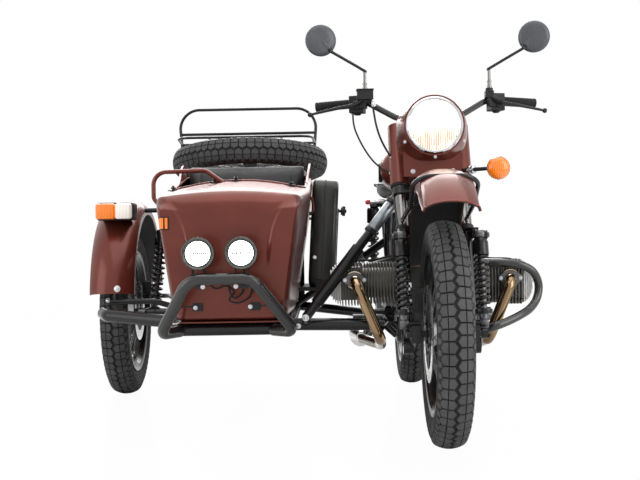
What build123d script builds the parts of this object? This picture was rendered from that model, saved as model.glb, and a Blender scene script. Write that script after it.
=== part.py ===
"""A heavy sidecar motorcycle: boxer twin with a leading-link fork, and a passenger sidecar on its right.

Millimetres. Z is up, the machine faces -Y, and the sidecar is on the -X side. Everything is laid out from
the motorcycle's own zero, on the floor under the front axle in its centre plane, and moved at the end so
that the frame's origin is on the floor under the middle of the whole machine.
"""

from build123d import *

import os
from math import cos, radians, sin, tan

# ---------------------------------------------------------------- driving dimensions
WHEELBASE = 1475.0
TRACK = 1195.0  # motorcycle wheel plane to sidecar wheel plane
SIDE_LEAD = 190.0  # sidecar axle ahead of the rear axle
ORIGIN_X, ORIGIN_Y = -428.3, 808.5  # middle of the machine, from the motorcycle's zero

# wheels, all three and the spare alike
TYRE_R, TYRE_W = 343.0, 108.0
TYRE_SHOULDER_R, TYRE_SHOULDER_W = 331.0, 86.0
TYRE_BELLY_R = 292.0
BEAD_R, BEAD_W = 234.0, 80.0  # rim bed radius, and the width between its flanges
FLANGE_R, FLANGE_T = 250.0, 5.0
WELL_R, WELL_W, RIM_T = 222.0, 40.0, 8.0
HUB_R, HUB_W = 34.0, 96.0
HUB_FLANGE_R, HUB_FLANGE_T = 62.0, 6.0
SPOKES, SPOKE_R, SPOKE_LEAN = 36, 1.8, 26.0
AXLE_R, AXLE_FIT = 10.0, 0.05
SEAT_GAP = 0.3  # between pieces that sit on each other

# brake discs: radius, thickness, and the hole in the middle
DISC_T, DISC_HOLE_R = 5.0, 45.0
FRONT_DISC_R, REAR_DISC_R, SIDE_DISC_R = 148.0, 128.0, 122.0

# steering
RAKE, TRAIL = 27.0, 40.0
LEG_X, LEG_R = 105.0, 19.0
LEG_BOTTOM_Z, LEG_TOP_Z = 300.0, 1000.0
LOWER_YOKE_Z, UPPER_YOKE_Z = 785.0, 985.0
YOKE_T = 28.0
HEAD_R, STEM_R, STEM_FIT = 27.0, 15.0, 0.4
HEAD_BOTTOM_Z, HEAD_TOP_Z = 806.0, 962.0

# motorcycle frame
TUBE_R = 16.0
CRADLE_X, CRADLE_Z, DOWN_Y = 108.0, 290.0, 380.0
PIVOT_Y, PIVOT_Z, PIVOT_X = 1085.0, 335.0, 91.5
RAIL_X, RAIL_Z = 112.0, 765.0
REAR_GUARD_R = 428.0  # the rear mudguard's, about the rear axle

# engine
CASE_X = 112.0  # half width of the crankcase
CYLINDER_Z = 478.0
CYLINDER_Y = {"left": 474.0, "right": 512.0}
BARREL_OUT, HEAD_OUT, COVER_OUT = 238.0, 308.0, 346.0
FIN_T, FIN_PITCH, FIN_Y, FIN_Z = 3.0, 10.5, 158.0, 152.0
BARREL_R = 52.0
PORT_X, PORT_Z, INTAKE_Z = 250.0, 492.0, 476.0
PIPE_R, MUFFLER_R = 19.0, 43.0
MUFFLER_X, MUFFLER_Z, MUFFLER_Y0, MUFFLER_Y1 = 232.0, 266.0, 800.0, 1560.0

# sidecar
SIDE_TUBE_R = 21.0
SIDE_FRAME_Z = 345.0
INNER_RAIL_X, OUTER_RAIL_X = -485.0, -905.0
STRUT_Y = 430.0  # the front lower joint between the two frames
TUB_X, TUB_WALL = -676.0, 4.0
FENDER_T = 3.0

# spare wheel on the boot lid
SPARE_Y, SPARE_Z, SPARE_TILT = 1600.0, 968.0, 7.5

SIDES = {"left": 1, "right": -1}
pieces = {}


def keep(name, builder):
    """Remembers a finished piece under the name of its node."""
    pieces[name] = builder


def steer_y(z):
    """Y of the steering axis at height z."""
    return z * tan(radians(RAKE)) - TRAIL


def tube(points, radius, bend=60.0):
    """A round bar along straight runs joined by arcs, in the part being built."""
    with BuildLine() as path:
        FilletPolyline(*points, radius=bend)
    with BuildSketch(Plane(origin=path.line @ 0, z_dir=path.line % 0)) as section:
        Circle(radius)
    sweep(section.sketch, path=path.line)


def rod(start, end, radius, mode=Mode.ADD):
    """A straight round bar from start to end."""
    run = Vector(*end) - Vector(*start)
    with BuildSketch(Plane(origin=start, z_dir=run)) as section:
        Circle(radius)
    extrude(section.sketch, amount=run.length, mode=mode)


def block(centre, size, mode=Mode.ADD):
    """A box of the given size about a centre."""
    with Locations(centre):
        Box(*size, mode=mode)


def cut_by(*builders):
    """Takes the neighbours' solids out of the part being built, so that they meet face to face."""
    for builder in builders:
        add(builder.part, mode=Mode.SUBTRACT)


def mirrored_x(points, side):
    """The points with X turned to the given side."""
    return [(side * x, y, z) for x, y, z in points]


# ---------------------------------------------------------------- wheels
WHEEL_PLANE = Plane(origin=(0, 0, 0), x_dir=(1, 0, 0), z_dir=(0, -1, 0))  # X along the axle, Y outward
WHEEL_AXIS = Axis((0, 0, 0), (1, 0, 0))


half_bead = BEAD_W / 2 - SEAT_GAP
bead_seat = BEAD_R + SEAT_GAP
half_shoulder = TYRE_SHOULDER_W / 2
with BuildPart() as tyre:
    with BuildSketch(WHEEL_PLANE):
        with BuildLine():
            Polyline((-half_bead, FLANGE_R), (-half_bead, bead_seat), (half_bead, bead_seat), (half_bead, FLANGE_R))
            for side in SIDES.values():
                ThreePointArc(
                    (side * half_bead, FLANGE_R),
                    (side * TYRE_W / 2, TYRE_BELLY_R),
                    (side * half_shoulder, TYRE_SHOULDER_R),
                )
            ThreePointArc((-half_shoulder, TYRE_SHOULDER_R), (0, TYRE_R), (half_shoulder, TYRE_SHOULDER_R))
        make_face()
    revolve(axis=WHEEL_AXIS)

rim_outer = BEAD_W / 2 + FLANGE_T
# columns: distance from the wheel's plane, radius
RIM_HALF = [
    (WELL_W / 2, WELL_R),
    (WELL_W / 2 + 5, BEAD_R),
    (BEAD_W / 2, BEAD_R),
    (BEAD_W / 2, FLANGE_R),
    (rim_outer, FLANGE_R),
    (rim_outer, BEAD_R - 3),
    (WELL_W / 2 + 8, BEAD_R - RIM_T),
    (WELL_W / 2 + 2, WELL_R - RIM_T),
]
HUB_HALF = [
    (HUB_W / 2, AXLE_R + AXLE_FIT),
    (HUB_W / 2, HUB_FLANGE_R),
    (HUB_W / 2 - HUB_FLANGE_T, HUB_FLANGE_R),
    (HUB_W / 2 - HUB_FLANGE_T - 6, HUB_R),
]
with BuildPart() as rim:
    for half_profile in (RIM_HALF, HUB_HALF):
        with BuildSketch(WHEEL_PLANE) as section:
            with BuildLine():
                Polyline(*half_profile, *[(-x, r) for x, r in reversed(half_profile)], close=True)
            make_face()
        revolve(section.sketch, axis=WHEEL_AXIS)
    spoke_planes = []
    for number in range(SPOKES):
        near_turn = 360.0 * number / SPOKES
        far_turn = near_turn + (SPOKE_LEAN if number % 4 < 2 else -SPOKE_LEAN)
        edge = 1 if number % 2 else -1
        near = Vector(edge * (HUB_W / 2 - HUB_FLANGE_T), HUB_FLANGE_R - 5, 0).rotate(WHEEL_AXIS, near_turn)
        far = Vector(edge * 7, WELL_R - RIM_T + 3, 0).rotate(WHEEL_AXIS, far_turn)
        spoke_planes.append(Plane(origin=(near + far) * 0.5, z_dir=far - near))
    with Locations(*spoke_planes):
        Cylinder(SPOKE_R, (far - near).length)

FRONT_AXLE = (0, 0, TYRE_R)
REAR_AXLE = (0, WHEELBASE, TYRE_R)
SIDE_AXLE = (-TRACK, WHEELBASE - SIDE_LEAD, TYRE_R)
# columns: name, axle centre, side of the brake disc, its radius
WHEELS = [
    ("front", FRONT_AXLE, -1, FRONT_DISC_R),
    ("rear", REAR_AXLE, 1, REAR_DISC_R),
    ("side", SIDE_AXLE, 1, SIDE_DISC_R),
]
for wheel_name, wheel_centre, disc_side, disc_radius in WHEELS:
    with BuildPart() as piece:
        with Locations(wheel_centre):
            add(tyre.part)
    keep(f"{wheel_name}_tyre", piece)
    hub_face = wheel_centre[0] + disc_side * HUB_W / 2
    with BuildPart() as piece:
        with Locations(wheel_centre):
            add(rim.part)
        with BuildSketch(Plane(origin=(hub_face, *wheel_centre[1:]), z_dir=(disc_side, 0, 0))):
            Circle(disc_radius)
            Circle(DISC_HOLE_R, mode=Mode.SUBTRACT)
        extrude(amount=DISC_T)
    keep(f"{wheel_name}_wheel", piece)

# ---------------------------------------------------------------- motorcycle frame
head_low = (0, steer_y(HEAD_BOTTOM_Z), HEAD_BOTTOM_Z)
head_high = (0, steer_y(HEAD_TOP_Z), HEAD_TOP_Z)
with BuildPart() as frame:
    rod(head_low, head_high, HEAD_R)
    tube([(0, steer_y(890) + 20, 890), (0, 640, 862), (0, 980, 800)], 20.0, 150)
    for side in SIDES.values():
        tube(
            mirrored_x(
                [
                    (10, steer_y(885) + 18, 885),
                    (34, 470, 790),
                    (CRADLE_X, 462, 690),
                    (CRADLE_X, DOWN_Y, 560),
                    (CRADLE_X, DOWN_Y, CRADLE_Z),
                    (CRADLE_X, PIVOT_Y, CRADLE_Z),
                    (CRADLE_X, PIVOT_Y + 40, 640),
                    (RAIL_X, 985, RAIL_Z),
                ],
                side,
            ),
            TUBE_R,
            [44, 44, 60, 55, 55, 55],
        )
        tube(
            mirrored_x([(4, 975, 800), (RAIL_X, 1020, RAIL_Z), (RAIL_X, 1640, RAIL_Z + 25)], side), 13.0, 40
        )
        rod(*mirrored_x([(CRADLE_X, PIVOT_Y + 20, 460), (RAIL_X, 1420, RAIL_Z + 10)], side), 12.0)
    for cross_y in (DOWN_Y + 60, PIVOT_Y - 60):
        rod((-CRADLE_X, cross_y, CRADLE_Z), (CRADLE_X, cross_y, CRADLE_Z), 11.0)
    guard_bar_z = TYRE_R + REAR_GUARD_R + SEAT_GAP + 11
    rod((-RAIL_X, WHEELBASE, guard_bar_z), (RAIL_X, WHEELBASE, guard_bar_z), 11.0)
    for side in SIDES.values():
        rod((side * PIVOT_X, PIVOT_Y, PIVOT_Z), (side * (CRADLE_X + 20), PIVOT_Y, PIVOT_Z), 20.0)
    rod(head_low, head_high, STEM_R + STEM_FIT, mode=Mode.SUBTRACT)
keep("frame", frame)

# ---------------------------------------------------------------- engine and gearbox
with BuildPart() as engine:
    block((0, 545, 428), (2 * CASE_X - 60, 230, 210))
    with BuildSketch(Plane.YZ.offset(-CASE_X)):
        with Locations((545, CYLINDER_Z - 12)):
            RectangleRounded(216, 176, 50)
    extrude(amount=2 * CASE_X)
    rod((0, 424, 470), (0, 440, 470), 78.0)
    block((0, 545, 312), (2 * CRADLE_X - 2 * TUBE_R - 16, 250, 60))
    with BuildSketch(Plane.XZ.offset(-650)):
        with Locations((0, 455)):
            RectangleRounded(190, 210, 60)
    extrude(amount=-60, taper=12)
    block((0, 800, 430), (170, 180, 180))
    block((0, 690, 430), (150, 60, 170))
    block((0, 800, 335), (120, 200, 60))
    rod((-60, 890, 400), (-60, 925, 400), 45.0)
    cut_by(frame)
keep("engine_block", engine)


def fin(x, centre_y, width, height, corner):
    """One cooling fin, a thin plate across the cylinder's axis."""
    with BuildSketch(Plane.YZ.offset(x - FIN_T / 2)) as section:
        with Locations((centre_y, CYLINDER_Z)):
            RectangleRounded(width, height, corner)
    extrude(section.sketch, amount=FIN_T)


with BuildPart() as cylinders:
    for side_name, side in SIDES.items():
        centre_y = CYLINDER_Y[side_name]
        rod((side * CASE_X, centre_y, CYLINDER_Z), (side * BARREL_OUT, centre_y, CYLINDER_Z), BARREL_R)
        for number in range(int((BARREL_OUT - CASE_X) / FIN_PITCH)):
            fin(side * (CASE_X + FIN_PITCH * (number + 0.7)), centre_y, FIN_Y - 14, FIN_Z - 10, 22)
        head_mid = side * (BARREL_OUT + HEAD_OUT) / 2
        block((head_mid, centre_y, CYLINDER_Z), (HEAD_OUT - BARREL_OUT, FIN_Y - 46, FIN_Z - 40))
        for number in range(7):
            fin(side * (BARREL_OUT + FIN_T / 2 + FIN_PITCH * number), centre_y, FIN_Y, FIN_Z, 26)
        port_x = side * (PORT_X + 12)
        rod((port_x, centre_y - 40, PORT_Z), (port_x, centre_y - 84, PORT_Z), 27.0)
        rod((port_x, centre_y + 40, INTAKE_Z), (port_x, centre_y + 84, INTAKE_Z), 25.0)
keep("cylinders", cylinders)

with BuildPart() as covers:
    for side_name, side in SIDES.items():
        centre_y = CYLINDER_Y[side_name]
        with BuildSketch(Plane.YZ.offset(side * HEAD_OUT)) as section:
            with Locations((centre_y, CYLINDER_Z)):
                RectangleRounded(FIN_Y - 22, FIN_Z - 18, 42)
        extrude(section.sketch, amount=side * (COVER_OUT - HEAD_OUT - 5), taper=14)
        for rib in range(-3, 4):
            block((side * (COVER_OUT - 8), centre_y, CYLINDER_Z + rib * 13), (16, 86 - 5 * abs(rib), 4))
    cut_by(cylinders)
keep("rocker_covers", covers)

# exhausts: header from each head, under the footpeg, into its silencer
with BuildPart() as exhausts:
    for side_name, side in SIDES.items():
        port_y = CYLINDER_Y[side_name] - 84
        port_x = PORT_X + 12
        tube(
            mirrored_x(
                [
                    (port_x, port_y - 6, PORT_Z),
                    (port_x - 4, port_y - 46, PORT_Z - 8),
                    (180, port_y - 54, 296),
                    (170, 560, 258),
                    (MUFFLER_X, 700, MUFFLER_Z),
                    (MUFFLER_X, MUFFLER_Y0, MUFFLER_Z),
                ],
                side,
            ),
            PIPE_R,
            36,
        )
        rod(
            (side * port_x, port_y, PORT_Z),
            (side * port_x, port_y - 12, PORT_Z),
            30.0,
        )
        # columns: Y, radius
        shell = [
            (MUFFLER_Y0 - 60, PIPE_R + 2),
            (MUFFLER_Y0 + 40, MUFFLER_R),
            (MUFFLER_Y1 - 120, MUFFLER_R),
            (MUFFLER_Y1 - 40, 26),
            (MUFFLER_Y1, 24),
        ]
        with BuildSketch(Plane(origin=(side * MUFFLER_X, 0, MUFFLER_Z), x_dir=(0, 1, 0), z_dir=(1, 0, 0))):
            with BuildLine():
                Polyline((shell[0][0], 0), *shell, (MUFFLER_Y1, 0), close=True)
            make_face()
        revolve(axis=Axis((side * MUFFLER_X, 0, MUFFLER_Z), (0, 1, 0)))
        rod(
            (side * MUFFLER_X, MUFFLER_Y1 - 70, MUFFLER_Z), (side * MUFFLER_X, MUFFLER_Y1, MUFFLER_Z), 20.0,
            mode=Mode.SUBTRACT,
        )
        for stay_y in (PIVOT_Y - 150, PIVOT_Y - 110):
            rod(
                (side * MUFFLER_X, stay_y, MUFFLER_Z + 30),
                (side * (CRADLE_X + TUBE_R - 3), stay_y, CRADLE_Z + 4),
                5.0,
            )
    cut_by(frame)
keep("exhausts", exhausts)

with BuildPart() as intake:
    for side_name, side in SIDES.items():
        inlet_y = CYLINDER_Y[side_name] + 84
        inlet_x = PORT_X + 12
        rod((side * inlet_x, inlet_y + SEAT_GAP, INTAKE_Z), (side * (inlet_x - 6), inlet_y + 70, INTAKE_Z + 10), 24.0)
        block((side * (inlet_x - 8), inlet_y + 45, INTAKE_Z), (56, 52, 66))
        tube(
            mirrored_x(
                [(inlet_x - 6, inlet_y + 66, INTAKE_Z + 10), (inlet_x - 30, 740, 508), (60, 800, 560)], side
            ),
            21.0,
            60,
        )
    block((0, 800, 580), (150, 150, 110))
    cut_by(frame, engine, cylinders)
keep("intake", intake)

# ---------------------------------------------------------------- tank, seats, mudguards
with BuildPart() as tank:
    # columns: Y, width, bottom Z, top Z, corner radius
    for y, width, z0, z1, corner in [
        (552, 130, 842, 930, 38),
        (640, 318, 800, 962, 72),
        (800, 300, 800, 952, 66),
        (955, 190, 806, 900, 42),
    ]:
        with BuildSketch(Plane.XZ.offset(-y)):
            with Locations((0, (z0 + z1) / 2)):
                RectangleRounded(width, z1 - z0, corner)
    loft()
    rod((0, 690, 940), (0, 690, 974), 34.0)
    cut_by(frame)
keep("fuel_tank", tank)

with BuildPart() as seat:
    for y, width, z0, z1, corner in [
        (962, 200, 800, 850, 22),
        (1180, 300, 800, 868, 30),
        (1420, 300, 802, 880, 30),
        (1655, 220, 806, 872, 28),
    ]:
        with BuildSketch(Plane.XZ.offset(-y)):
            with Locations((0, (z0 + z1) / 2)):
                RectangleRounded(width, z1 - z0, corner)
    loft()
    cut_by(frame, tank)
keep("bench_saddle", seat)


def arc_guard(centre, radius, start, end, half_width, lip, x_mid=0.0):
    """A mudguard: a rounded section swept about a line through centre, angles from the front up and over."""
    cy, cz = centre
    first = radians(start)
    out = (0, -cos(first), sin(first))
    plane = Plane(origin=(x_mid, cy, cz), x_dir=(1, 0, 0), z_dir=Vector(1, 0, 0).cross(Vector(*out)))
    inner = radius - FENDER_T
    with BuildSketch(plane) as section:
        with BuildLine():
            Line((-half_width, radius - lip), (-half_width, radius - 44))
            ThreePointArc((-half_width, radius - 44), (0, radius), (half_width, radius - 44))
            Line((half_width, radius - 44), (half_width, radius - lip))
            Line((half_width, radius - lip), (half_width - FENDER_T, radius - lip))
            Line((half_width - FENDER_T, radius - lip), (half_width - FENDER_T, inner - 42))
            ThreePointArc(
                (half_width - FENDER_T, inner - 42), (0, inner), (-half_width + FENDER_T, inner - 42)
            )
            Line((-half_width + FENDER_T, inner - 42), (-half_width + FENDER_T, radius - lip))
            Line((-half_width + FENDER_T, radius - lip), (-half_width, radius - lip))
        make_face()
    revolve(section.sketch, axis=Axis((x_mid, cy, cz), (-1, 0, 0)), revolution_arc=end - start)


with BuildPart() as rear_guard:
    arc_guard((WHEELBASE, TYRE_R), REAR_GUARD_R, 78, 196, 82, 66)
    cut_by(frame, seat)
keep("rear_mudguard", rear_guard)

with BuildPart() as tail_lamp:
    tail_y = WHEELBASE + REAR_GUARD_R * cos(radians(28))
    tail_z = TYRE_R + REAR_GUARD_R * sin(radians(28))
    block((0, tail_y + 26, tail_z + 34), (96, 62, 66))
    block((0, tail_y + 48, tail_z - 66), (200, 3, 120))
    block((0, tail_y + 34, tail_z - 10), (30, 30, 60))
    cut_by(rear_guard)
keep("tail_lamp", tail_lamp)

# ---------------------------------------------------------------- rear suspension and drive
ARM_X = 76.0
REAR_SHOCK_X = 156.0
REAR_SHOCK_LOW, REAR_SHOCK_HIGH = (WHEELBASE - 14, TYRE_R + 110), (WHEELBASE - 96, RAIL_Z + 8)
with BuildPart() as swingarm:
    rod((-PIVOT_X, PIVOT_Y, PIVOT_Z), (PIVOT_X, PIVOT_Y, PIVOT_Z), 20.0)
    for side in SIDES.values():
        rod((side * ARM_X, PIVOT_Y, PIVOT_Z), (side * ARM_X, WHEELBASE, TYRE_R), 15.0)
        block((side * ARM_X, WHEELBASE, TYRE_R), (16, 60, 60))
        rod((side * ARM_X, WHEELBASE - 30, TYRE_R), (side * ARM_X, *REAR_SHOCK_LOW), 12.0)
        rod((side * ARM_X, *REAR_SHOCK_LOW), (side * (REAR_SHOCK_X + 14), *REAR_SHOCK_LOW), 10.0)
    rod((-150, WHEELBASE, TYRE_R), (104, WHEELBASE, TYRE_R), AXLE_R)
keep("swingarm", swingarm)

with BuildPart() as final_drive:
    rod((-ARM_X - 8, WHEELBASE, TYRE_R), (-146, WHEELBASE, TYRE_R), 84.0)
    rod((-112, 926, 392), (-112, WHEELBASE - 60, TYRE_R + 6), 20.0)
    block((-86, 926, 396), (90, 30, 50))
    cut_by(swingarm, frame, engine)
keep("final_drive", final_drive)


def shock(low, high, body_r, coil_r, wire_r, coils, cap_length, cap_r):
    """A spring over its damper: eyes, damper, rings for coils and an upper shroud."""
    run = Vector(*high) - Vector(*low)
    way = run.normalized()
    base = Vector(*low)
    rod(base, base + way * run.length, body_r)
    rod(base + way * (run.length - cap_length), base + way * (run.length - 12), cap_r)
    rod(base + way * 26, base + way * 40, coil_r + 4)
    first, last = 46.0, run.length - cap_length - 4
    planes = [
        Plane(origin=base + way * (first + (last - first) * number / (coils - 1)), z_dir=way)
        for number in range(coils)
    ]
    with Locations(*planes):
        Cylinder(coil_r, wire_r * 1.6)


with BuildPart() as pedals:
    for side in SIDES.values():
        rod((side * (CRADLE_X + TUBE_R - 2), 792, CRADLE_Z + 6), (side * 150, 792, 330), 9.0)
        rod((side * 150, 792, 332), (side * 262, 792, 334), 15.0)
    tube([(CRADLE_X, 640, CRADLE_Z + 10), (150, 640, 330), (150, 560, 345)], 6.0, 12)
    tube([(80, 760, 430), (118, 760, 430), (128, 900, 470), (170, 940, 480)], 8.0, 14)
    rod((-CRADLE_X, 640, CRADLE_Z + 10), (-150, 560, 340), 6.0)
    cut_by(frame, engine)
keep("pedals", pedals)

with BuildPart() as engine_guard:
    tube(
        [
            (CRADLE_X - 2, DOWN_Y - 4, 545),
            (200, 352, 545),
            (330, 366, 538),
            (382, 406, 448),
            (330, 330, 352),
            (176, 268, 322),
            (CRADLE_X + 2, DOWN_Y - 4, 308),
        ],
        14.0,
        [50, 58, 50, 40, 40],
    )
    cut_by(frame)
keep("engine_guard", engine_guard)

# ---------------------------------------------------------------- fork and front end
leg_low = (LEG_X, steer_y(LEG_BOTTOM_Z), LEG_BOTTOM_Z)
leg_high = (LEG_X, steer_y(LEG_TOP_Z), LEG_TOP_Z)
steer_dir = Vector(0, sin(radians(RAKE)), cos(radians(RAKE)))


def yoke(height, width):
    """A fork yoke across both legs, square to the steering axis."""
    plane = Plane(origin=(0, steer_y(height), height), x_dir=(1, 0, 0), z_dir=steer_dir)
    with BuildSketch(plane) as section:
        SlotCenterToCenter(2 * LEG_X, width)
    extrude(section.sketch, amount=YOKE_T / 2, both=True)


with BuildPart() as fork:
    for side in SIDES.values():
        low, high = mirrored_x([leg_low, leg_high], side)
        rod(low, high, LEG_R)
        rod((side * (LEG_X - 16), low[1], LEG_BOTTOM_Z), (side * (LEG_X + 16), low[1], LEG_BOTTOM_Z), 30.0)
        block((side * 116, steer_y(640) - 66, 646), (18, 150, 36))
    yoke(LOWER_YOKE_Z, 54)
    yoke(UPPER_YOKE_Z, 50)
    rod((0, steer_y(LOWER_YOKE_Z), LOWER_YOKE_Z), (0, steer_y(UPPER_YOKE_Z), UPPER_YOKE_Z), STEM_R)
keep("fork", fork)

SHOCK_LOW, SHOCK_HIGH = (28.0, 372.0), (96.0, 640.0)  # Y and Z of the front shocks' eyes
with BuildPart() as links:
    for side in SIDES.values():
        pivot_y = steer_y(LEG_BOTTOM_Z)
        rod((side * 88, pivot_y - 24, LEG_BOTTOM_Z + 8), (side * 88, 0, TYRE_R), 16.0)
        block((side * 88, 8, TYRE_R), (28, 56, 52))
        rod((side * 74, 28, 372), (side * 134, 28, 372), 9.0)
    rod((-118, 0, TYRE_R), (118, 0, TYRE_R), AXLE_R)
    rod((112, 0, TYRE_R), (128, 0, TYRE_R), 16.0)
    cut_by(fork)
keep("leading_links", links)

with BuildPart() as front_shocks:
    for side in SIDES.values():
        shock(
            (side * 122, *SHOCK_LOW), (side * 122, *SHOCK_HIGH), 10.0, 23.0, 4.0, 12, 66, 25.0,
        )
        rod((side * 110, *SHOCK_HIGH), (side * 146, *SHOCK_HIGH), 15.0)
    cut_by(links, fork)
keep("front_shocks", front_shocks)

with BuildPart() as front_caliper:
    block((-72, 86, TYRE_R + 96), (56, 64, 84))
    block((-HUB_W / 2 - DISC_T / 2, 70, TYRE_R + 80), (DISC_T + 10, 120, 140), mode=Mode.SUBTRACT)
    block((-92, 110, TYRE_R + 56), (12, 40, 60))
    cut_by(fork, front_shocks, links)
keep("front_caliper", front_caliper)

FRONT_GUARD = (7.0, 436.0)  # Y and Z of the front mudguard's centre
FRONT_GUARD_R = 393.0
with BuildPart() as front_guard:
    arc_guard(FRONT_GUARD, FRONT_GUARD_R, 42, 166, 80, 78)
    cut_by(fork)
keep("front_mudguard", front_guard)

with BuildPart() as guard_stay:
    tube(
        [
            (-LEG_X, steer_y(690) - 10, 690),
            (-97, 20, 735),
            (-97, -118, 815),
            (97, -118, 815),
            (97, 20, 735),
            (LEG_X, steer_y(690) - 10, 690),
        ],
        7.0,
        [30, 60, 60, 30],
    )
    for side in SIDES.values():
        rod((side * 79, 20, 735), (side * 97, 20, 735), 6.0)
    cut_by(fork, front_guard)
keep("mudguard_stay", guard_stay)

LAMP_R, LAMP_Y, LAMP_Z = 90.0, 218.0, 996.0
with BuildPart() as nacelle:
    # columns: Y, width, height, middle Z, corner radius
    for y, width, height, z, corner in [
        (LAMP_Y + 10, 196, 196, LAMP_Z, 97.5),
        (LAMP_Y + 70, 224, 200, LAMP_Z - 8, 92),
        (LAMP_Y + 150, 232, 190, LAMP_Z - 16, 70),
    ]:
        with BuildSketch(Plane.XZ.offset(-y)):
            with Locations((0, z)):
                RectangleRounded(width, height, corner)
    loft()
    for side in SIDES.values():
        low = (side * LEG_X, steer_y(806), 806)
        high = (side * LEG_X, steer_y(1012), 1012)
        rod(low, high, 33.0)
    block((0, 336, 880), (190, 60, 90))
    cut_by(fork)
    rod((0, steer_y(780), 780), (0, steer_y(1100), 1100), 64.0, mode=Mode.SUBTRACT)
    rod((0, LAMP_Y, LAMP_Z), (0, LAMP_Y + 70, LAMP_Z), LAMP_R + SEAT_GAP, mode=Mode.SUBTRACT)
keep("headlamp_nacelle", nacelle)

with BuildPart() as headlamp:
    with BuildSketch(Plane(origin=(0, LAMP_Y + 66, LAMP_Z), x_dir=(0, -1, 0), z_dir=(1, 0, 0))):
        with BuildLine():
            Line((0, 0), (70, 0))
            ThreePointArc((70, 0), (66, 48), (56, LAMP_R - 3))
            Polyline((56, LAMP_R - 3), (56, LAMP_R + 6), (50, LAMP_R + 8), (46, LAMP_R + 6), (46, LAMP_R), (0, 40), (0, 0))
        make_face()
    revolve(axis=Axis((0, LAMP_Y, LAMP_Z), (0, 1, 0)))
    cut_by(nacelle)
keep("headlamp", headlamp)

with BuildPart() as handlebar:
    tube(
        [
            (-382, 548, 1096),
            (-205, 500, 1104),
            (-105, 480, 1046),
            (105, 480, 1046),
            (205, 500, 1104),
            (382, 548, 1096),
        ],
        11.0,
        [50, 40, 40, 50],
    )
    for side in SIDES.values():
        block((side * 46, 484, 1020), (30, 38, 80))
    cut_by(fork)
keep("handlebar", handlebar)

with BuildPart() as controls:
    for side in SIDES.values():
        rod((side * 262, 515.4, 1101.4), (side * 384, 548.5, 1095.9), 16.5)
        block((side * 236, 508, 1102), (50, 46, 44))
        block((side * 214, 474, 1126), (46, 44, 36))
        rod((side * 222, 470, 1112), (side * 262, 456, 1088), 7.0)
        rod((side * 260, 456.5, 1089), (side * 400, 478.5, 1063.6), 6.0)
        rod((side * 397, 478, 1064.1), (side * 412, 480.4, 1061.4), 9.0)
    cut_by(handlebar)
keep("controls", controls)

with BuildPart() as mirrors:
    for side in SIDES.values():
        tube(
            mirrored_x([(214, 476, 1144.3), (214, 476, 1206), (330, 440, 1274)], side), 5.0, 14
        )
        rod((side * 214, 476, 1144.3), (side * 214, 476, 1166), 8.0)
        with Locations(Location((side * 362, 430, 1310), (-90 + 6, side * 14, 0))):
            Cylinder(54, 18)
keep("mirrors", mirrors)

# columns: radius, route from the right-hand controls down to the fork's cover
CABLES = [
    (3.5, [(-190, 474, 1112), (-184, 468, 1052), (-172, 440, 990), (-150, 412, 935), (-122, 402, 890)]),
    (3.0, [(-254, 508, 1090), (-260, 502, 1040), (-236, 480, 970), (-196, 450, 900), (-154, 426, 862), (-120, 404, 846)]),
]
with BuildPart() as cables:
    for radius, route in CABLES:
        tube(route, radius, 40)
        rod(route[0], Vector(*route[0]) + (Vector(*route[1]) - Vector(*route[0])) * 0.6, 2 * radius)
    cut_by(controls, handlebar, nacelle, fork)
keep("cables", cables)

with BuildPart() as front_indicator:
    rod((90, 326, 853), (172, 222, 853), 7.0)
    with BuildSketch(Plane(origin=(200, 204, 853), x_dir=(0, -1, 0), z_dir=(1, 0, 0))):
        with BuildLine():
            Line((-34, 0), (22, 0))
            ThreePointArc((22, 0), (16, 24), (2, 35))
            Polyline((2, 35), (-8, 35), (-34, 20), (-34, 0))
        make_face()
    revolve(axis=Axis((200, 204, 853), (0, 1, 0)))
    cut_by(nacelle, fork)
keep("front_indicator", front_indicator)

# ---------------------------------------------------------------- sidecar frame
with BuildPart() as side_frame:
    tube(
        [
            (INNER_RAIL_X, 1760, SIDE_FRAME_Z + 20),
            (INNER_RAIL_X, 320, SIDE_FRAME_Z - 4),
            (OUTER_RAIL_X, 320, SIDE_FRAME_Z - 4),
            (OUTER_RAIL_X, 1760, SIDE_FRAME_Z + 20),
        ],
        SIDE_TUBE_R,
        70,
    )
    rod((INNER_RAIL_X, 1700, SIDE_FRAME_Z + 19), (OUTER_RAIL_X, 1700, SIDE_FRAME_Z + 19), 17.0)
    rod((INNER_RAIL_X, 1200, SIDE_FRAME_Z + 9), (OUTER_RAIL_X, 1200, SIDE_FRAME_Z + 9), 17.0)
    rod((INNER_RAIL_X, STRUT_Y, SIDE_FRAME_Z), (-CRADLE_X - 56, STRUT_Y, SIDE_FRAME_Z - 6), SIDE_TUBE_R)
    rod((INNER_RAIL_X, 1250, SIDE_FRAME_Z + 11), (-CRADLE_X - 88, 1100, 330), 19.0)
    tube(
        [
            (OUTER_RAIL_X, 640, SIDE_FRAME_Z - 2),
            (-1178, 792, 359),
            (-1205, 850, 364),
        ],
        24.0,
        34,
    )
    rod((OUTER_RAIL_X, 1000, SIDE_FRAME_Z + 5), (-1030, 1000, SIDE_FRAME_Z + 5), 20.0)
keep("sidecar_frame", side_frame)

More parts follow.
